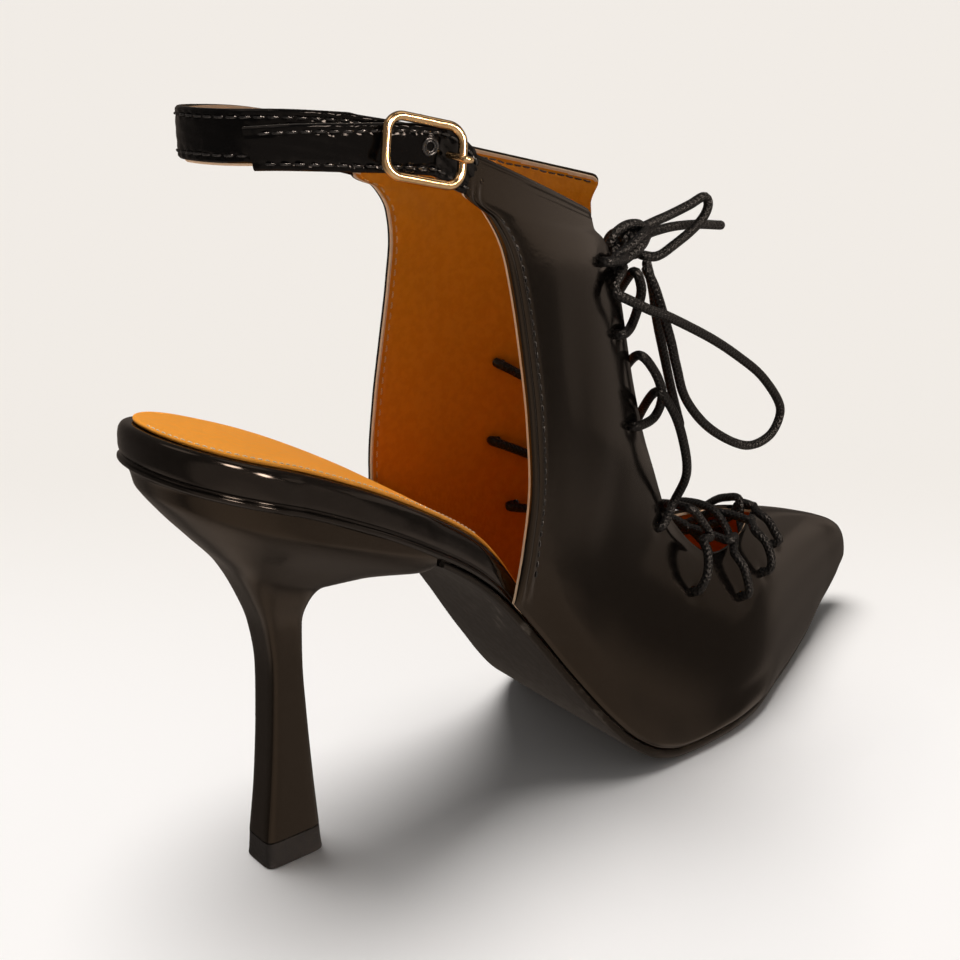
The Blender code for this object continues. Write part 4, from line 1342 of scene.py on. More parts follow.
@dataclass
class Upper(Assembly):
    """Toe, vamp and side panels: black leather outside, ochre lining inside, and their seams."""

    last: Last
    leather_thick: float = 1.05
    hole_radius: float = 1.4
    fold_width: float = 3.7
    fold_height: float = 0.45
    seam_place: float = 4.0
    lining_seam: float = 1.7
    lining_top_seam: float = 1.35
    lining_groove: float = 0.28
    raw_band: float = 0.9
    edge_stand: float = 0.45
    corner_lateral: float = 2.4
    corner_medial: float = 2.0
    medial_rise_back: float = 2.0
    medial_rise_front: float = 0.5
    medial_front_slope: float = 2.0
    lining_lift: float = 1.6
    back_start: Span = (14.7, 15.6)
    collar_start: Span = (19.0, 23.0)
    fold_end: Span = (22.8, 23.6)
    throat_start: Span = (7.0, 7.6)
    tuck_depth: float = 0.7
    tuck_reach: float = 1.6
    dimple_depth: float = 0.35
    dimple_reach: float = 2.3
    mark: Span = (23.45, 0.07)
    mark_radius: float = 0.42
    mark_wire: float = 0.16
    row_step: float = 0.1
    middle_columns: int = 34
    ease_rows: int = 9
    holes: Table = Table("pair section_lateral share_lateral section_medial share_medial slack", [
        (1, 7.7, 0.64, 7.7, 0.64, 0.3), (2, 9.1, 0.55, 9.1, 0.55, 0.3), (3, 10.5, 0.5, 10.5, 0.5, 0.3),
        (4, 12.7, 0.5, 12.9, 0.46, 0.6), (5, 14.7, 0.55, 14.5, 0.36, 3.6),
        (6, 17.2, 0.53, 16.1, 0.36, 3), (7, 18.8, 0.52, 17.5, 0.38, 1.6), (8, 20.6, 0.49, 19.4, 0.48, 1)])
    near_edge: tuple[float, ...] = (0.0, 0.10, 0.25, 0.45, 0.7, 1.0, 1.4, 1.9, 2.4, 2.9, 3.3, 3.6, 3.9,
                                    4.2, 4.6, 5.2)
    creases: tuple[Crease, ...] = (
        Crease((101.0, -26.0, 52.0), (0.75, -0.2, -0.6), 14.0, 3.4, 0.12),
        Crease((97.0, -25.5, 62.0), (0.7, -0.1, -0.7), 12.0, 3.2, 0.10),
        Crease((116.0, -24.0, 70.0), (0.25, 0.1, 0.95), 26.0, 7.0, 0.30),
        Crease((101.0, -23.0, 108.0), (-0.15, 0.0, 0.99), 24.0, 8.0, 0.30),
        Crease((172.0, -20.0, 22.0), (0.55, 0.2, -0.8), 12.0, 4.0, 0.12))

    def build(self) -> None:
        """Build the leather, the lining and the stitching."""
        cutter = self.build_punch()
        self.build_leather(cutter)
        self.build_lining(cutter)
        bpy.data.objects.remove(cutter)
        self.build_stitching()
        self.build_pinhole()

    def sections(self) -> Points:
        """Sections of the grid's rows, close together along the top edge."""
        near_top = self.last.top_section - np.array(self.near_edge)[::-1] / 8.0
        return np.concatenate([np.arange(0.0, near_top[0] - self.row_step / 2, self.row_step), near_top])

    def shares(self, side: Side, section: Points) -> tuple[Points, Points]:
        """Shares of the grid's columns, close together along both edges.

        Args:
            side: The side of the foot.
            section: Sections of the rows.

        Returns:
            The shares, and the distance of each from the lower or back edge.
        """
        dense = np.linspace(0.0, 1.0, 160)[None, :] * self.last.throat(side, section)[:, None]
        p = self.last.arch(side, section, dense)
        steps = np.linalg.norm(np.diff(p, axis=1), axis=2)
        lengths = np.concatenate([np.zeros((len(section), 1)), np.cumsum(steps, axis=1)], axis=1)
        near = np.array(self.near_edge)
        shares, distances = [], []
        for row, total in enumerate(lengths[:, -1]):
            close = near * min(1.0, 0.3 * total / near[-1])
            middle = np.linspace(close[-1], total - close[-1], self.middle_columns + 2)[1:-1]
            goal = np.concatenate([close, middle, total - close[::-1]])
            shares.append(np.interp(goal, lengths[row], dense[row]))
            distances.append(goal)
        return np.array(shares), np.array(distances)

    def face(self, side: Side) -> Grid:
        """Grid over one side's outer face.

        Args:
            side: The side of the foot.

        Returns:
            Its points, normals, sections and distances from its edges.
        """
        section = self.sections()
        share, low = self.shares(side, section)
        p = self.eased(self.last.arch(side, section, share), section, low)
        along = np.gradient(p, axis=0)
        across = np.gradient(p, axis=1)
        normal = unit(np.cross(along, across) * side.value)
        steps = np.linalg.norm(np.diff(p, axis=0), axis=2)
        top = np.concatenate([np.cumsum(steps[::-1], axis=0)[::-1], np.zeros((1, p.shape[1]))])
        throat = low[:, -1:] - low
        rise, reach = unit(along), unit(across)
        down, back = self.round_corner(side, top, throat)
        if side is Side.MEDIAL:
            share_along = low / low[:, -1:]
            lift = self.medial_rise_back + (self.medial_rise_front - self.medial_rise_back) * share_along
            down = down - lift * smooth_step(17.0, self.last.top_section, section)[:, None]
            slope = smooth_step(17.5, 20.5, section)[:, None] * smooth_step(0.5, 7.0, top)
            back = back + self.medial_front_slope * slope * (1 - smooth_step(0.0, 10.0, throat))
        p = p - rise * down[..., None] - reach * back[..., None]
        sections = np.tile(section[:, None], (1, p.shape[1]))
        return {"points": p, "normal": normal, "section": sections, "low": low, "throat": throat,
                "top": top, "rise": rise, "reach": reach}

    def eased(self, p: Points, section: Points, low: Points) -> Points:
        """Grid with the bends between the panel and the vamp eased.

        Args:
            p: The grid's points.
            section: Sections of its rows.
            low: Distances from its lower or back edge.

        Returns:
            The eased points; those along the edges stay.
        """
        reach = 3 * self.ease_rows
        weights = np.exp(-0.5 * (np.arange(-reach, reach + 1) / self.ease_rows) ** 2)
        ends = np.concatenate([np.repeat(p[:1], reach, axis=0), p, np.repeat(p[-1:], reach, axis=0)])
        soft = sum(w * ends[k:k + len(p)] for k, w in enumerate(weights / weights.sum()))
        inside = smooth_step(2.0, 9.0, low) * smooth_step(1.0, 7.0, low[:, -1:] - low)
        rows = smooth_step(2.5, 5.0, section) * (1 - smooth_step(17.0, 20.0, section))
        return p + (soft - p) * (rows[:, None] * inside)[..., None]

    def round_corner(self, side: Side, top: Points, throat: Points) -> tuple[Points, Points]:
        """Shifts that round the corner between the top edge and the throat.

        Args:
            side: The side of the foot.
            top: Distances from the top edge.
            throat: Distances from the throat's edge.

        Returns:
            Shifts away from the top edge and away from the throat.
        """
        radius = self.corner_lateral if side is Side.LATERAL else self.corner_medial
        a, b = np.maximum(radius - top, 0.0), np.maximum(radius - throat, 0.0)
        scale = np.maximum(a, b) / np.maximum(np.hypot(a, b), 1e-9)
        scale[(a <= 0) | (b <= 0)] = 1.0
        return a * (1 - scale), b * (1 - scale)

    def faces_of_both(self) -> dict[Side, Grid]:
        """Grids of both sides, with common normals where the sides meet.

        Returns:
            Each side's grid.
        """
        faces = {side: self.face(side) for side in Side}
        left, right = faces[Side.LATERAL]["normal"], faces[Side.MEDIAL]["normal"]
        rows = np.nonzero(self.last.throat(Side.LATERAL, self.sections()) > 0.9999)[0]
        shared = unit(left[rows, -1] + right[rows, -1])
        left[rows, -1] = right[rows, -1] = shared
        tip = unit(left[0] + right[0])
        left[0] = right[0] = tip
        return faces

    def wall(self, name: str, outer: dict[Side, Points], inner: dict[Side, Points],
             finishes: Sequence[Finish], band: dict[Side, Points] | None = None) -> Piece:
        """Closed wall between an outer and an inner grid of each side.

        Args:
            name: The piece's name.
            outer: Outer points of each side.
            inner: Inner points of each side.
            finishes: The finish of the faces and that of the cut edges.
            band: Where the inner face has the cut edge's finish too.

        Returns:
            The piece.
        """
        points, faces, finish_of = [], [], []
        count = 0
        open_rows = self.last.throat(Side.LATERAL, self.sections()) < 0.9999
        for side in Side:
            rows, columns = outer[side].shape[:2]
            size = rows * columns
            sheet = grid_faces(rows, columns, count) + grid_faces(rows, columns, count + size)
            edges = [(k * columns, (k + 1) * columns) for k in range(rows - 1)]
            top = (rows - 1) * columns
            edges += [(top + k, top + k + 1) for k in range(columns - 1)]
            edges += [((k + 1) * columns - 1, (k + 2) * columns - 1) for k in range(rows - 1)
                      if open_rows[k + 1]]
            rim = [(count + a, count + b, count + b + size, count + a + size) for a, b in edges]
            faces += sheet + rim
            raw = band[side][:-1, :-1].ravel().astype(int) if band else np.zeros(len(sheet) // 2, int)
            finish_of += [0] * (len(sheet) // 2) + raw.tolist() + [len(finishes) - 1] * len(rim)
            points += [outer[side].reshape(-1, 3), inner[side].reshape(-1, 3)]
            count += 2 * size
        materials = [self.wardrobe.get(finish) for finish in finishes]
        return self.bench.make(name, np.vstack(points), faces, materials, finish_of, weld=0.004,
                               sharp=50.0)

    def fold(self, distance: Points) -> Points:
        """Height of a folded edge above the leather, at a distance from it.

        Args:
            distance: Distances from the edge.

        Returns:
            The height at each distance.
        """
        roll = self.fold_width / 4
        middles = (roll, 3 * roll)
        rolls = sum(np.maximum(1 - ((distance - middle) / roll) ** 2, 0.0) for middle in middles)
        seam = 0.10 * bump(distance, self.seam_place, 0.35)
        shoulder = 0.35 * (1 - smooth_step(0.0, 0.5, distance))
        return self.fold_height * rolls - seam - shoulder

    def leather_height(self, side: Side, face: Grid) -> Points:
        """How far the leather's face stands out of the last's shape: folds, tucks, creases, holes.

        Args:
            side: The side of the foot.
            face: That side's grid.

        Returns:
            The height at each of the grid's points.
        """
        section, top = face["section"], face["top"]
        back = smooth_step(*self.back_start, section)
        collar = smooth_step(*self.collar_start, section)
        fold = self.fold(face["low"]) * (1 - smooth_step(*self.fold_end, section))
        tuck = -self.tuck_depth * (1 - smooth_step(0.0, self.tuck_reach, face["low"])) ** 2
        height = back * fold + (1 - back) * tuck
        hem = 0.16 * (1 - smooth_step(1.6, 2.2, top)) - 0.22 * bump(top, self.lining_top_seam, 0.28)
        hem -= 0.4 * (1 - smooth_step(0, 0.6, top))
        height = height * (1 - collar * (1 - smooth_step(0, 1.8, top))) + collar * hem
        rounded = 0.3 * (1 - smooth_step(0.0, 0.7, face["throat"]))
        height -= smooth_step(*self.throat_start, section) * rounded
        for crease in self.creases:
            height += crease.height(face["points"])
        for pair in self.holes.places:
            middle, _ = self.hole(side, pair)
            away = np.linalg.norm(face["points"] - middle, axis=-1)
            height -= self.dimple_depth * bump(away, 0.0, self.dimple_reach)
        return height

    def hole_place(self, side: Side, pair: float) -> Span:
        """Section and share of a lace hole."""
        word = self.last.word(side)
        return float(self.holes.at("section_" + word, pair)), float(self.holes.at("share_" + word, pair))

    def hole(self, side: Side, pair: float) -> tuple[Points, Points]:
        """Middle of a lace hole and the direction out of it."""
        return self.last.spot(side, *self.hole_place(side, pair))

    def build_leather(self, cutter: Piece) -> None:
        """Outer leather, with folded back edges and punched lace holes.

        Args:
            cutter: The punches of the lace holes.
        """
        outer, inner = {}, {}
        for side, face in self.faces_of_both().items():
            height = self.leather_height(side, face)
            stand = self.edge_stand * (1 - smooth_step(0.0, 1.5, face["top"]))[..., None] * face["rise"]
            outer[side] = face["points"] + face["normal"] * height[..., None] + stand
            inner[side] = face["points"] - face["normal"] * self.leather_thick + stand
        piece = self.wall("upper_leather", outer, inner, [UPPER_LEATHER])
        self.bench.punch(piece, cutter)
        self.bench.settle(piece, Slot.LEATHER, "upper")

    def lining_height(self, face: Grid) -> Points:
        """How far the lining's inner face stands into the shoe: seams, puckers and soft waves.

        Args:
            face: A side's grid.

        Returns:
            The height at each of the grid's points.
        """
        x, z = face["points"][..., 0], face["points"][..., 2]
        low, top, section = face["low"], face["top"], face["section"]
        back = smooth_step(14.7, 15.4, section)
        seam = -self.lining_groove * bump(low, self.lining_seam, 0.6)
        pucker = 0.16 * np.sin(z * 2 * np.pi / 3.1) * bump(low, self.lining_seam + 1.2, 1.6)
        waves = 0.35 * np.sin(x / 7.0 + z / 40.0) * smooth_step(4.0, 14.0, low)
        waves = waves * smooth_step(2.0, 9.0, face["throat"]) * smooth_step(2.0, 9.0, top)
        folds = 0.22 * np.sin(z / 3.3 + x / 9.0) * bump(low, 9.0, 5.0) * bump(section, 20.5, 2.2)
        top_seam = -self.lining_groove * bump(top, self.lining_top_seam, 0.5)
        return back * (seam + pucker + folds) + waves + top_seam * smooth_step(19.0, 21.0, section)

    def build_lining(self, cutter: Piece) -> None:
        """Ochre lining with a raw tan edge.

        Args:
            cutter: The punches of the lace holes.
        """
        outer, inner, band = {}, {}, {}
        for side, face in self.faces_of_both().items():
            depth = self.leather_thick + 0.02
            high = (face["section"] > 19.0) & (face["top"] < self.raw_band)
            band[side] = high | ((face["section"] > 15.0) & (face["low"] < 0.4 * self.raw_band))
            ahead = 1 - smooth_step(14.0, 15.0, face["section"])
            lift = (1 - smooth_step(0.0, 4.0, face["low"])) * ahead
            face["points"] = face["points"] + face["reach"] * (self.lining_lift * lift)[..., None]
            outer[side] = face["points"] - face["normal"] * depth
            into = self.last.wall + self.lining_height(face)
            into = np.maximum(into, depth + 0.35)
            inner[side] = face["points"] - face["normal"] * into[..., None]
        piece = self.wall("upper_lining", outer, inner, [LINING, RAW_EDGE], band)
        self.bench.punch(piece, cutter)
        self.bench.settle(piece, Slot.LINING)

    def build_punch(self) -> Piece:
        """Round punches, one for each lace hole, in one cutter.

        Returns:
            The cutter.
        """
        sheet = bmesh.new()
        for side in Side:
            for pair in self.holes.places:
                middle, normal = self.hole(side, pair)
                turn = Vector((0, 0, 1)).rotation_difference(Vector(normal)).to_matrix().to_4x4()
                turn.translation = Vector(self.bench.place(middle - normal * self.last.wall / 2))
                bmesh.ops.create_cone(sheet, cap_ends=True, segments=20, radius1=self.hole_radius * MM,
                                      radius2=self.hole_radius * MM, depth=4 * self.last.wall * MM,
                                      matrix=turn)
        mesh = bpy.data.meshes.new("lace_punches")
        sheet.to_mesh(mesh)
        sheet.free()
        return into_scene("lace_punches", mesh)

    def seam(self, face: Grid, distance: float, first: float,
             last: float) -> tuple[Points, Points]:
        """Line at a distance from the back edge.

        Args:
            face: A side's grid.
            distance: Distance from the edge.
            first: Section where it starts.
            last: Section where it ends.

        Returns:
            Its points on the last's shape and the normals there.
        """
        section = face["section"][:, 0]
        path, normals = [], []
        for row in np.nonzero((section >= first) & (section <= last))[0]:
            low = face["low"][row]
            k = int(np.searchsorted(low, distance))
            t = (distance - low[k - 1]) / (low[k] - low[k - 1])
            path.append(face["points"][row, k - 1] * (1 - t) + face["points"][row, k] * t)
            normals.append(face["normal"][row, k])
        return np.array(path), np.array(normals)

    def top_seam(self, face: Grid, distance: float, inset: float) -> tuple[Points, Points]:
        """Line at a distance below the top edge.

        Args:
            face: A side's grid.
            distance: Distance below the top edge.
            inset: Distance from the corners.

        Returns:
            Its points on the last's shape and the normals there.
        """
        columns = np.nonzero((face["low"][-1] > inset) & (face["throat"][-1] > inset))[0]
        path, normals = [], []
        for k in columns:
            heights = face["top"][::-1, k]
            row = len(heights) - 1 - int(np.searchsorted(heights, distance))
            path.append(face["points"][row, k])
            normals.append(face["normal"][row, k])
        return np.array(path), np.array(normals)

    def build_stitching(self) -> None:
        """Stitches beside the folded edges, outside and on the lining."""
        outside, inside, high = Joined(), Joined(), Joined()
        stitching, dense = Stitching(), Stitching(pitch=2.2, length=2.2)
        for side, face in self.faces_of_both().items():
            path, normals = self.seam(face, self.seam_place, 15.4, 22.2)
            stitching.sew(outside, path - normals * 0.12, normals)
            path, normals = self.seam(face, self.lining_seam, 15.2, 22.6)
            stitching.sew(inside, path - normals * (self.last.wall - 0.25), -normals)
            path, normals = self.top_seam(face, self.lining_top_seam, self.lining_seam)
            dense.sew(high, path - normals * (self.last.wall - 0.25), -normals)
        threads = ((outside, "upper_stitches", BLACK_THREAD, Slot.LEATHER),
                   (inside, "lining_stitches", TAN_THREAD, Slot.LINING),
                   (high, "top_lining_stitches", BROWN_THREAD, Slot.LINING))
        for thread, name, finish, slot in threads:
            self.gathered(thread, name, finish, slot)

    def build_pinhole(self) -> None:
        """Small pressed mark below the strap on the lateral panel."""
        middle, normal = self.last.spot(Side.LATERAL, *self.mark)
        angle = np.linspace(0, 2 * np.pi, 25)[:-1, None]
        across = unit(np.cross(normal, [0.0, 0.0, 1.0]))
        round_it = np.cos(angle) * across + np.sin(angle) * np.cross(normal, across)
        ring = middle + normal * 0.02 + self.mark_radius * round_it
        mark = Joined()
        mark.tube(np.vstack([ring, ring[:1]]), self.mark_wire, 8, False)
        self.gathered(mark, "lateral_mark", UPPER_LEATHER, Slot.LEATHER)


# Ankle strap and buckle


@dataclass
class AnkleStrap(Assembly):
    """Sling round the ankle, the strap end that lies on it, and the buckle."""

    sling_thick: float = 1.6
    lining_thick: float = 0.55
    billet_thick: float = 1.5
    billet_slant: float = 0.22
    slant_reach: float = 9.0
    sling_width: Table = Table("place half drop", [
        (0, 5.1, 0), (6.8, 5.1, 0), (6.95, 4.95, 0.15), (7.9, 4.45, 0.65)])
    lining_width: Table = Table("place half drop", [
        (0, 4.8, -0.3), (2.5, 4.8, -0.2), (4, 5.1, 0.7), (6.8, 5.1, 0.7), (7.9, 4.45, 1.3)])
    billet_width: Table = Table("place half drop", [
        (5.5, 4.1, 2.1), (6.5, 4.5, 1.5), (8, 4.87, 0.75), (9, 4.9, 0.7), (10, 4.6, 0.7),
        (10.45, 3.7, 1.3)])
    hole_ahead: float = 2.3
    hole_rise: float = 0.9
    buckle_place: float = 8.0
    buckle_ahead: float = 0.2
    sling_end_short: float = 0.14
    billet_tail: float = 5.5
    billet_root: float = 10.45
    sling_root: float = -0.22
    billet_layer: float = 2.0
    buckle_length: float = 19.0
    buckle_height: float = 13.6
    buckle_drop: float = 0.6
    buckle_wire: float = 0.95
    buckle_corner: float = 4.4
    buckle_tilt: float = 4.5
    buckle_lean: float = 17.0
    frame_layer: float = 5.8
    bar_layer: float = 0.9
    bar_turn: float = 1.8
    bar_wire: float = 0.7125
    tongue: tuple[Span, ...] = ((6.9, 3.4), (7.4, 5.0), (8.1, 7.0), (8.9, 7.45), (9.7, 7.1))
    tongue_wire: float = 0.72
    hole_rings: tuple[Span, ...] = ((1.55, 0.34), (1.05, 0.22))
    seam_inset: float = 1.5
    stitch_pitch: float = 2.7
    loop: Route = (
        (71.6, 23.7, 156.4), (58.0, 24.6, 160.7), (42.0, 21.8, 164.6), (27.2, 14.8, 167.2),
        (18.4, 4.4, 169.0), (19.0, -8.2, 170.0), (27.6, -18.2, 170.3), (40.0, -23.4, 169.0),
        (51.0, -25.5, 167.4), (57.4, -25.9, 165.8), (63.6, -25.7, 161.8))

    def build(self) -> None:
        """Build and dress the strap, the strap end and the buckle."""
        self.build_sling()
        self.build_billet()
        self.build_buckle()
        self.build_stitching()

    def at(self, place: Points) -> Points:
        """Points on the loop's inner face."""
        return spline_at(self.loop, place)

    def frame(self, place: Points) -> tuple[Points, Points, Points, Points]:
        """Points on the loop's inner face, with the directions along, up and out."""
        step = 0.01
        along = unit(self.at(place + step) - self.at(place - step))
        out = unit(np.cross(along, [0.0, 0.0, 1.0]))
        return self.at(place), along, np.cross(out, along), out

    def band(self, name: str, place: Points, layer: Points, thick: float, width: Table, finish: Finish,
             edge: Finish, slant: float = 0.0, pucker: float = 0.0) -> Piece:
        """Strap with rounded edges and seams that pucker.

        Args:
            name: The piece's name.
            place: Places along the loop.
            layer: Distance of its inner face from the loop at each place.
            thick: Its thickness.
            width: Half its width, and how far its middle lies below the loop's.
            finish: Its finish.
            edge: Finish of its cut edges.
            slant: Slope of its cut end.
            pucker: Depth of the puckers along its two seams.

        Returns:
            The piece.
        """
        point, along, up, out = self.frame(place)
        inset = np.concatenate([[0.0, 0.015, 0.04, 0.08], np.linspace(0.12, 1.0, 18)])
        share = np.concatenate([inset - 1, (1 - inset)[::-1][1:]])
        half = width.at("half", place)[:, None]
        across = half * share[None, :]
        gap = half - np.abs(across)
        lengths = path_lengths(point)[:, None]
        phase = across * 1.7
        waves = np.sin(lengths * 2 * np.pi / self.stitch_pitch + phase * 0.4)
        fade = 0.7 + 0.3 * np.sin(lengths * 0.71 + phase)
        waves = waves * bump(gap, self.seam_inset * 0.9, 1.1) * fade
        waves += 0.5 * np.sin(lengths * 0.83 + phase) * np.sin(lengths * 0.31 - phase * 0.6)
        outer = thick + 0.10 * (1 - share ** 2) - 0.36 * (1 - smooth_step(0.0, 0.4, gap))
        outer += pucker * (waves * smooth_step(0.0, 0.8, gap) - 1.5 * bump(gap, self.seam_inset, 0.42))
        ring_w = np.concatenate([across, across[:, ::-1]], axis=1)
        depth = layer[:, None] + np.concatenate([outer, np.zeros_like(outer)], axis=1)
        shift = -slant * ring_w * np.exp(-lengths / self.slant_reach)
        level = ring_w - width.at("drop", place)[:, None]
        rings = (point[:, None] + up[:, None] * level[..., None] + out[:, None] * depth[..., None]
                 + along[:, None] * shift[..., None])
        rows, columns = rings.shape[:2]
        caps = ring_caps(rows, columns)
        faces = grid_faces(rows, columns, close=True) + caps
        cut = [int(k in (len(share) - 1, columns - 1)) for k in range(columns)] * (rows - 1)
        cut += [1] * len(caps)
        finishes = [self.wardrobe.get(finish), self.wardrobe.get(edge)]
        return self.bench.make(name, rings.reshape(-1, 3), faces, finishes, cut, sharp=70.0)

    def build_sling(self) -> None:
        """Black sling with its tan lining."""
        place = np.linspace(self.sling_root, self.buckle_place - self.sling_end_short, 300)
        layer = np.full_like(place, self.lining_thick)
        piece = self.band("sling_leather", place, layer, self.sling_thick - self.lining_thick,
                          self.sling_width, STRAP_LEATHER, EDGE_PAINT, pucker=0.14)
        self.bench.settle(piece, Slot.LEATHER, "sling_strap")
        piece = self.band("sling_lining", place, np.zeros_like(place), self.lining_thick - 0.1,
                          self.lining_width, RAW_EDGE, RAW_EDGE)
        self.bench.settle(piece, Slot.LINING)

    def billet_path(self) -> tuple[Points, Points]:
        """Places along the strap end and its layer at each.

        Returns:
            The places, and the distance of the inner face from the loop at each.
        """
        rise = Table("place layer", [
            (self.billet_tail, self.billet_layer), (self.buckle_place + 0.4, self.billet_layer),
            (self.buckle_place + 1.1, 1.2), (self.billet_root, 0.1)])
        place = np.linspace(self.billet_tail, self.billet_root, 200)
        return place, rise.at("layer", place)

    def build_billet(self) -> None:
        """Strap end with a slanted tail and a ringed hole."""
        place, layer = self.billet_path()
        piece = self.band("billet_leather", place, layer, self.billet_thick, self.billet_width,
                          STRAP_LEATHER, EDGE_PAINT, self.billet_slant, 0.15)
        self.bench.settle(piece, Slot.LEATHER, "billet")
        ring = Joined()
        angle = np.linspace(0, 2 * np.pi, 37)
        face = np.full_like(angle, self.billet_layer + self.billet_thick + 0.12)
        for radius, wire in self.hole_rings:
            loop = self.buckle_points(self.hole_ahead + radius * np.cos(angle),
                                      self.hole_rise + radius * np.sin(angle), face, 0.0)
            ring.tube(loop, wire, 8, False)
        self.gathered(ring, "billet_hole_ring", HOLE_RING, Slot.LEATHER)

    def buckle_points(self, along: Points, up: Points, layer: Points, lean: float) -> Points:
        """Points in the buckle's own plane.

        Args:
            along: Distances along the strap from the buckle's middle.
            up: Distances across the strap.
            layer: Distances out of the loop.
            lean: How far the buckle's top leans in, in degrees.

        Returns:
            The points.
        """
        point, ahead, over, out = (v[0] for v in self.frame(np.array([self.buckle_place])))
        tilt, turn = math.radians(self.buckle_tilt), math.radians(lean)
        across = along * math.cos(tilt) + up * math.sin(tilt) + self.buckle_ahead
        rise = up * math.cos(tilt) - along * math.sin(tilt)
        level = rise * math.cos(turn) - self.buckle_drop
        depth = layer - rise * math.sin(turn)
        return point + across[:, None] * ahead + level[:, None] * over + depth[:, None] * out

    def build_buckle(self) -> None:
        """Rounded wire frame with its bar, and the tongue that rests on it."""
        reach = self.buckle_length / 2 - self.buckle_wire
        rise = self.buckle_height / 2 - self.buckle_wire
        corner = self.buckle_corner - self.buckle_wire
        route = []
        for turn, (x, y) in enumerate(((1, 1), (-1, 1), (-1, -1), (1, -1))):
            for angle in np.linspace(0, np.pi / 2, 12) + turn * np.pi / 2:
                route.append((x * (reach - corner) + corner * math.cos(angle),
                              y * (rise - corner) + corner * math.sin(angle)))
        route = np.array(route + route[:1])
        layer = np.full(len(route), self.frame_layer)
        path = self.buckle_points(route[:, 0], route[:, 1], layer, self.buckle_lean)
        metal = Joined()
        metal.tube(even_points(path, 0.5), self.buckle_wire, 18, False)
        half = np.array([(rise - 0.8, self.bar_layer), (rise, self.bar_turn), (rise, self.frame_layer)])
        bar = np.vstack([half[::-1] * (-1.0, 1.0), half])
        behind = np.sin(np.radians(self.buckle_lean)) * bar[:, 0] * (bar[:, 1] <= self.bar_turn)
        path = self.buckle_points(np.zeros(len(bar)), bar[:, 0], bar[:, 1] + behind, self.buckle_lean)
        metal.tube(curve_through(path, 6), self.bar_wire, 12, False)
        self.gathered(metal, "buckle_wire", GOLD, Slot.METAL, "buckle_frame")
        tongue = np.array(self.tongue)
        path = self.buckle_points(tongue[:, 0], np.zeros(len(tongue)), tongue[:, 1], self.buckle_lean)
        prong = Joined()
        prong.tube(curve_through(path, 8), self.tongue_wire, 14)
        self.gathered(prong, "buckle_tongue", GOLD, Slot.METAL, "buckle_prong")

    def build_stitching(self) -> None:
        """Stitches along both edges of the sling and of the strap end."""
        thread = Joined()
        stitching = Stitching(pitch=self.stitch_pitch, length=2.1, radius=0.28, sink=0.02)
        place = np.linspace(0.05, self.buckle_place - 0.5, 400)
        point, _, up, out = self.frame(place)
        half, drop = self.sling_width.at("half", place), self.sling_width.at("drop", place)
        for sign in (-1, 1):
            across = sign * (half - self.seam_inset) - drop
            line = point + up * across[:, None] + out * (self.sling_thick - 0.14)
            stitching.sew(thread, line, out)
        place, layer = self.billet_path()
        point, along, up, out = self.frame(place)
        half, drop = self.billet_width.at("half", place), self.billet_width.at("drop", place)
        start = np.exp(-path_lengths(point) / self.slant_reach)
        keep = slice(6, None)
        for sign in (-1, 1):
            across = sign * (half - self.seam_inset * 0.9)
            face = layer + self.billet_thick - 0.12
            line = point + up * (across - drop)[:, None] + out * face[:, None]
            line = line - along * (self.billet_slant * across * start)[:, None]
            stitching.sew(thread, line[keep], out[keep])
        self.gathered(thread, "strap_stitches", WAXED_THREAD, Slot.LEATHER)


# Lace


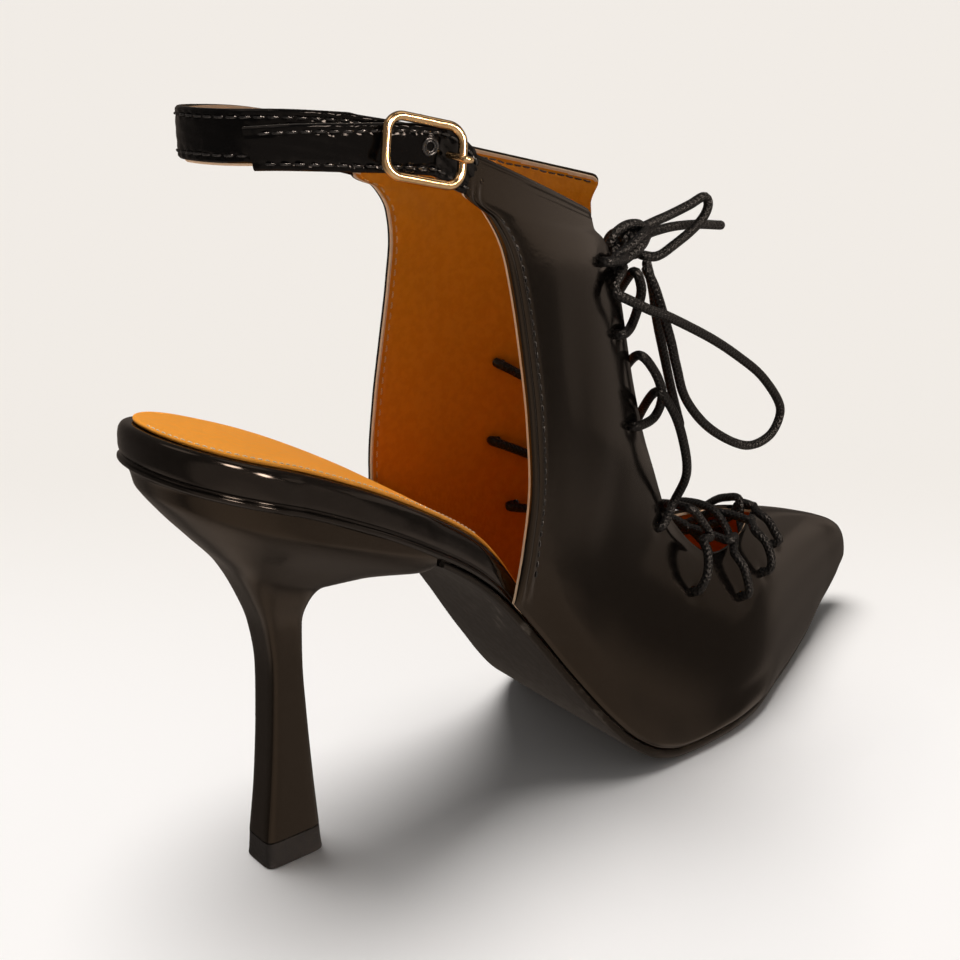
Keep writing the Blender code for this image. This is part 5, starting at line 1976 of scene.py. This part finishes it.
@dataclass
class Lacing(Assembly):
    """Waxed cord through the lace holes, with its knot, two loops and two ends."""

    last: Last
    upper: Upper
    radius: float = 1.2
    clear: float = 0.6
    cross_under: float = 1.6
    arcs: tuple[float, ...] = (2.4, 4.4, 3.8, 6.0)
    stands: tuple[tuple[Span, ...], ...] = (
        ((0.0, 1.2), (0.1, 1.6)), ((-0.05, 2.4), (0.1, 2.6)), ((0.05, 2.6), (0.35, 3.4)),
        ((0.05, 4.6), (0.6, 6.0), (0.9, 4.8)),
        ((0.15, 2.6), (0.45, 7.6), (0.75, 9.0), (1.0, 8.0), (1.14, 4.6)),
        ((-0.05, 3.4), (0.17, 6.2), (0.45, 5.4), (0.66, 1.8)),
        ((0.0, 1.4), (0.22, 3.8), (0.42, 5.0), (0.65, 3.8)))
    knot: Point = (126.6, -8.6, 132.8)
    knot_reach: float = 3.84
    knot_core: float = 2.3
    knot_turns: tuple[tuple[float, float, float, float], ...] = (
        (-2.2, 2.9, 2.9, 0.5), (0.3, 3.2, 3.1, 0.15), (2.7, 2.8, 2.8, -0.3))
    knot_wraps: tuple[Route, ...] = (
        ((-8.6, -4.4, -4.4), (-6.0, -5.0, -2.8), (-2.0, -5.0, -1.2), (2.0, -4.6, 0.6), (5.2, -2.6, 1.6)),
        ((-8.2, -4.0, -2.2), (-5.6, -4.6, -0.6), (-1.6, -4.6, 1.0), (2.4, -4.0, 2.8), (5.4, -2.0, 3.2)),
        ((-6.0, -1.6, 1.4), (-4.0, -1.8, 4.0), (0.0, -1.6, 5.2), (4.0, -1.4, 4.6), (6.6, -1.2, 2.4)))
    loop_large: Route = (
        (122.8, -13.0, 128.8), (118.4, -16.8, 128.8), (114.6, -18.8, 127.2), (114.4, -19.8, 125.2),
        (117.6, -20.2, 123.4), (125.2, -20.4, 119.5), (132.8, -19.6, 116.2), (150.2, -17.2, 107.2),
        (162.2, -16.2, 99.8), (171.7, -16.0, 92.8), (179.2, -16.0, 84.4), (180.4, -16.0, 79.4),
        (176.3, -16.0, 74.6), (166.9, -16.0, 74.4), (153.2, -16.0, 82.2), (143.6, -16.0, 92.2),
        (139.6, -15.8, 102.0), (137.6, -15.2, 109.2), (133.0, -14.2, 121.6), (130.6, -13.0, 127.0))
    loop_small: Route = (
        (132.4, -7.8, 135.6), (137.6, -8.0, 136.8), (143.0, -8.0, 137.8), (149.9, -8.0, 139.4),
        (154.4, -8.2, 140.8), (155.8, -8.6, 139.0), (154.4, -8.8, 136.2), (150.4, -9.0, 133.4),
        (144.0, -9.0, 130.4), (138.2, -9.0, 128.4), (133.0, -8.8, 129.4))
    end_short: Route = (
        (132.3, -6.8, 132.3), (138.4, -5.2, 133.2), (147.0, -4.6, 133.6), (156.0, -4.6, 133.0),
        (165.2, -4.6, 131.5))
    end_long: Route = (
        (132.2, -11.4, 128.0), (134.6, -11.4, 121.4), (136.8, -11.2, 113.0), (140.3, -11.2, 102.2),
        (143.4, -11.2, 93.0), (147.0, -11.2, 83.5))

    def build(self) -> None:
        """Build and dress the run, the knot and the bow."""
        self.build_run()
        knot = self.build_knot()
        self.build_bow(knot)

    def edge(self, side: Side, section: float) -> tuple[Points, Points, float]:
        """Point on the throat's edge, the direction out of the leather beside it, and its share."""
        share = float(self.last.throat(side, section))
        point, _ = self.last.spot(side, section, share)
        _, out = self.last.spot(side, section, share - 0.03)
        return point, out, share

    def arm(self, side: Side, pair: int) -> list[Points]:
        """Route from a hole over the throat's edge, under the other edge and up to the next hole.

        Args:
            side: The side that the arm starts on.
            pair: The pair of holes that it starts from.

        Returns:
            The route's points.
        """
        other = Side(-side.value)
        last, upper = self.last, self.upper
        section, share = upper.hole_place(side, pair)
        section_after, _ = upper.hole_place(side, pair + 1)
        section_across, _ = upper.hole_place(other, pair)
        next_section, _ = upper.hole_place(other, pair + 1)
        hole, outward = upper.hole(side, pair)
        lift = self.radius + self.clear
        edge_section = section + 0.35 * (section_after - section)
        edge, edge_out, edge_share = self.edge(side, edge_section)
        far, far_out, _ = self.edge(other, next_section - 0.6 * (next_section - section_across))
        half, half_out = last.spot(side, (section + edge_section) / 2, (share + edge_share) / 2)
        front = unit(edge_out + far_out)
        slack = float(upper.holes.at("slack", pair))
        start = [half + half_out * (lift + slack / 2), edge + edge_out * (lift + slack)]
        over = slack + self.cross_under
        if side is Side.LATERAL:
            arc = []
            for part in (0.2, 0.5, 0.8) if pair <= len(self.arcs) else ():
                spot, out = last.spot(side, section + part * (edge_section - section),
                                      share + part * (edge_share - share))
                arc.append(spot + out * self.arcs[pair - 1] * (1 - (1.4 * part - 0.7) ** 2))
            start = arc + self.standing(pair, section, section_after - section, front)
            over = self.clear
        wall = last.wall
        return [hole - outward * (wall + lift), hole - outward * wall / 2, hole + outward * lift, *start,
                (start[-1] + far) / 2 + front * over, far - far_out * (wall + lift + 0.6)]

    def standing(self, pair: int, section: float, gap: float, front: Points) -> list[Points]:
        """Points of the loop that stands off the lateral edge above a hole.

        Args:
            pair: The pair of holes that it starts from.
            section: The hole's section.
            gap: Sections to the next hole.
            front: Direction out of the throat.

        Returns:
            The loop's points.
        """
        points = []
        for ahead, away in self.stands[pair - 1]:
            edge, out, _ = self.edge(Side.LATERAL, section + ahead * gap)
            points.append(edge + unit(out + 0.5 * front) * away)
        return points

    def run_route(self) -> list[Points]:
        """Whole lacing, from the knot down one side, through the bar at the toe and up the other.

        Returns:
            The route's points.
        """
        pairs = len(self.upper.holes.places)
        knot = np.array(self.knot)
        lift = self.radius + self.clear
        halves = []
        for first in Side:
            side = first
            route: list[Points] = []
            for pair in range(1, pairs):
                route += self.arm(side, pair)
                side = Side(-side.value)
            hole, outward = self.upper.hole(side, pairs)
            route += [hole - outward * (self.last.wall + lift), hole - outward * self.last.wall / 2,
                      hole + outward * lift]
            section, _ = self.upper.hole_place(side, pairs)
            edge, edge_out, share = self.edge(side, section)
            route.append(edge + edge_out * (lift + self.clear))
            if side is Side.MEDIAL:
                route.append(self.last.spot(side, section, share + 0.12)[0] + edge_out * lift)
            route.append(knot - unit(knot - route[-1]) * self.knot_reach)
            halves.append(route)
        return halves[0][::-1] + halves[1]

    def build_run(self) -> None:
        """Cord through all the holes, from the knot and back to it."""
        path = even_points(curve_through(self.run_route()), 0.8)
        cord = Joined()
        cord.tube(path, self.radius)
        self.gathered(cord, "lace_run", CORD, Slot.CORD, "lace_crossings")

    def build_knot(self) -> Piece:
        """Tied middle of the bow: turns of the cord round each other.

        Returns:
            The knot.
        """
        turns = Joined()
        middle = np.array(self.knot)
        angle = np.linspace(0, 2 * np.pi, 60)
        core = middle + np.outer(np.linspace(-3.6, 3.6, 9), [1.0, 0.15, 0.25])
        turns.tube(core, self.knot_core, 14)
        for shift, reach, rise, lean in self.knot_turns:
            ring = np.stack([shift + lean * 2.2 * np.sin(angle), reach * np.cos(angle),
                             rise * np.sin(angle) + lean * np.cos(angle)], axis=-1)
            turns.tube(middle + ring, self.radius * 1.05, rounded=False)
        for wrap in self.knot_wraps:
            turns.tube(even_points(curve_through(middle + np.array(wrap)), 0.6), self.radius)
        return self.gathered(turns, "lace_knot_turns", CORD, Slot.CORD, "lace_knot")

    def build_bow(self, knot: Piece) -> None:
        """Loops and ends of the bow, each a length of the same cord that leaves the knot.

        Args:
            knot: The knot; not used.
        """
        cords = (("lace_loop_large", self.loop_large, "knot"),
                 ("lace_loop_small", self.loop_small, "knot"),
                 ("lace_end_short", self.end_short, "bare"),
                 ("lace_end_long", self.end_long, "bare"))
        for name, route, far_end in cords:
            path = even_points(curve_through(route), 0.8)
            cord = Joined()
            cord.tube(path, self.radius)
            piece = self.gathered(cord, name + "_cord", CORD, Slot.CORD, name)
            placed = self.bench.place(path)
            tuple(placed[0])
            float(path_lengths(placed)[-1])
            [tuple(p) for p in placed]


# Camera and studio


@dataclass
class Camera:
    """Camera behind the outer side of the shoe and a little above it."""

    bench: Bench
    place: Point = (-136.41, -276.63, 221.66)
    yaw: float = 39.28
    pitch: float = 21.79
    roll: float = 0.19
    focal_pixels: float = 1590.05
    picture_pixels: float = 960.0
    sensor: float = 36.0

    def build(self) -> None:
        """Place the camera and make it the scene's own."""
        yaw, pitch, roll = (math.radians(a) for a in (self.yaw, self.pitch, self.roll))
        flat = math.cos(pitch)
        ahead = Vector((math.sin(yaw) * flat, math.cos(yaw) * flat, -math.sin(pitch)))
        right = Vector((math.cos(yaw), -math.sin(yaw), 0.0))
        up = right.cross(ahead)
        level = Matrix((right, up, -ahead)).transposed()
        data = bpy.data.cameras.new("shoe_camera")
        data.sensor_fit = "HORIZONTAL"
        data.sensor_width = self.sensor
        data.lens = self.focal_pixels / self.picture_pixels * self.sensor
        data.clip_start = 0.01
        camera = into_scene("shoe_camera", data)
        camera.matrix_world = (level @ Matrix.Rotation(roll, 3, "Z")).to_4x4()
        camera.location = self.bench.place(np.array(self.place))
        bpy.context.scene.camera = camera


@dataclass(frozen=True)
class Glow:
    """Bright patch of the surroundings that the gloss mirrors."""

    azimuth: float
    elevation: float
    outer: float
    inner: float
    strength: float

    def direction(self) -> Vector:
        """Direction towards the patch's middle."""
        azimuth, elevation = math.radians(self.azimuth), math.radians(self.elevation)
        level = math.cos(elevation)
        return Vector((level * math.cos(azimuth), level * math.sin(azimuth), math.sin(elevation)))


@dataclass(frozen=True)
class Sun:
    """Broad light from far away."""

    name: str
    power: float
    angle: float
    way: Point

    def build(self) -> None:
        """Make the light and turn it the way it shines."""
        data = bpy.data.lights.new(self.name, "SUN")
        data.energy = self.power
        data.angle = math.radians(self.angle)
        light = into_scene(self.name, data)
        light.rotation_euler = Vector(self.way).to_track_quat("-Z", "Y").to_euler()
        light.visible_glossy = False


@dataclass(frozen=True)
class Card:
    """Upright lit card beside the shoe, seen only in its gloss."""

    name: str
    middle: Point
    turn: float
    width: float
    height: float
    strength: float

    def build(self, bench: Bench, colour: Colour) -> None:
        """Make the card.

        Args:
            bench: The bench that places it.
            colour: Colour of its light.
        """
        turn = math.radians(90.0 - self.turn)
        along = np.array([math.cos(turn), math.sin(turn), 0.0]) * self.width / 2
        rise = np.array([0.0, 0.0, self.height / 2])
        middle = np.array(self.middle)
        low, high = middle - rise, middle + rise
        corners = [low - along, low + along, high + along, high - along]
        mesh = bpy.data.meshes.new(self.name)
        mesh.from_pydata([tuple(bench.place(corner)) for corner in corners], [], [(0, 1, 2, 3)])
        material, shader = new_material(self.name)
        fill(shader, {"Base Color": (0.0, 0.0, 0.0, 1.0), "Specular IOR Level": 0.0,
                      "Emission Color": (*colour, 1.0), "Emission Strength": self.strength})
        mesh.materials.append(material)
        card = into_scene(self.name, mesh)
        card.visible_camera = False
        card.visible_diffuse = False
        card.visible_shadow = False


@dataclass
class Studio:
    """Pale floor, soft light from above and the warm dim room that the gloss mirrors."""

    bench: Bench
    floor_near: Colour = (0.945, 0.912, 0.886)
    floor_far: Colour = (0.845, 0.805, 0.758)
    floor_reach: float = 12.0
    floor_turn: Span = (-0.04, 0.20)
    floor_yaw: float = 39.28
    ambient: float = 0.17
    sun: Sun = Sun("key", 2.80, 40.0, (0.03, -0.21, -1.0))
    cards: tuple[Card, ...] = (Card("wing_card", (206.0, -85.0, 137.0), 38.7, 180.0, 54.0, 0.60),
                               Card("low_card", (255.0, -40.0, 74.0), 0.0, 100.0, 68.0, 0.27))
    room: float = 0.13
    room_colour: Colour = (1.0, 0.82, 0.69)
    glows: tuple[Glow, ...] = (
        Glow(-104.0, -20.0, 63.0, 48.0, 0.33), Glow(-112.0, -42.0, 34.0, 10.0, 0.20),
        Glow(80.0, -85.0, 26.0, 10.0, 0.16), Glow(-4.0, -14.0, 15.0, 4.0, 0.07),
        Glow(-5.0, -3.0, 14.0, 4.0, 0.10), Glow(4.0, 11.0, 20.0, 8.0, 0.24),
        Glow(-22.0, 20.0, 14.0, 5.0, 0.18), Glow(-22.0, -45.0, 28.0, 10.0, 0.36),
        Glow(150.0, -58.0, 34.0, 12.0, 0.34), Glow(-4.0, 58.0, 20.0, 8.0, 0.8),
        Glow(150.0, 74.0, 18.0, 8.0, 1.2), Glow(-95.0, 46.0, 10.0, 4.0, 36.0),
        Glow(-70.0, 20.0, 9.0, 4.0, 44.0))

    def build(self) -> None:
        """Build the floor, the world, the key light and the cards."""
        bpy.context.scene.view_settings.view_transform = "Standard"
        self.build_floor()
        self.build_world()
        self.sun.build()
        for card in self.cards:
            card.build(self.bench, self.room_colour)

    def build_floor(self) -> None:
        """Wide floor that falls off a little towards its far end."""
        mesh = bpy.data.meshes.new("floor")
        reach = self.floor_reach
        mesh.from_pydata([(-reach, -reach, 0), (reach, -reach, 0), (reach, reach, 0), (-reach, reach, 0)],
                         [], [(0, 1, 2, 3)])
        material, shader = new_material("pale_floor")
        nodes = NodeBench(material.node_tree)
        fill(shader, {"Specular IOR Level": 0.0, "Roughness": 0.9})
        place = nodes.add("TexCoord")
        ahead = nodes.add("VectorMath", operation="DOT_PRODUCT")
        yaw = math.radians(self.floor_yaw)
        nodes.link(place.outputs["Object"], ahead.inputs[0])
        ahead.inputs[1].default_value = (math.sin(yaw), math.cos(yaw), 0.0)
        share = nodes.spread(ahead.outputs["Value"], *self.floor_turn)
        nodes.link(nodes.mix(share, self.floor_near, self.floor_far), shader.inputs["Base Color"])
        mesh.materials.append(material)
        floor = into_scene("floor", mesh)
        floor.visible_glossy = False

    def build_world(self) -> None:
        """Even pale light for the floor, and a warm room with lamps for the gloss."""
        world = bpy.data.worlds.new("studio")
        world.use_nodes = True
        nodes = NodeBench(world.node_tree)
        even = world.node_tree.nodes["Background"]
        fill(even, {"Color": (1.0, 1.0, 1.0, 1.0), "Strength": self.ambient})
        place = nodes.add("TexCoord")
        total = None
        for glow in self.glows:
            toward = nodes.add("VectorMath", operation="DOT_PRODUCT")
            nodes.link(place.outputs["Generated"], toward.inputs[0])
            toward.inputs[1].default_value = glow.direction()
            patch = nodes.spread(toward.outputs["Value"], math.cos(math.radians(glow.outer)),
                                 math.cos(math.radians(glow.inner)), 0.0, glow.strength)
            total = nodes.math("ADD", patch, total if total else self.room)
        room = nodes.add("Background")
        room.inputs["Color"].default_value = (*self.room_colour, 1.0)
        nodes.link(total, room.inputs["Strength"])
        rays = nodes.add("LightPath")
        by_gloss = nodes.add("MixShader")
        nodes.link(rays.outputs["Is Glossy Ray"], by_gloss.inputs[0])
        nodes.link(even.outputs[0], by_gloss.inputs[1])
        nodes.link(room.outputs[0], by_gloss.inputs[2])
        nodes.link(by_gloss.outputs[0], world.node_tree.nodes["World Output"].inputs["Surface"])
        bpy.context.scene.world = world


def main() -> None:
    """Load the frame, place the shoe by two solids' boxes, build every part and the studio."""
    logging.basicConfig(level=logging.INFO, format="%(name)s %(message)s")
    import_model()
    last = Last()
    heel_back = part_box("footbed")[0].x / MM - last.heel_back
    tip_low, tip_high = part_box("top_piece")
    bench = Bench(Vector((heel_back, (tip_low.y + tip_high.y) / 2 / MM - Heel.centre_y, 0.0)))
    wardrobe = Wardrobe()
    Camera(bench).build()
    upper = Upper(bench, wardrobe, last)
    Lacing(bench, wardrobe, last, upper).build()
    Sole(bench, wardrobe, last).build()
    Heel(bench, wardrobe, last).build()
    upper.build()
    AnkleStrap(bench, wardrobe).build()
    Studio(bench).build()


if __name__ == "__main__":
    main()
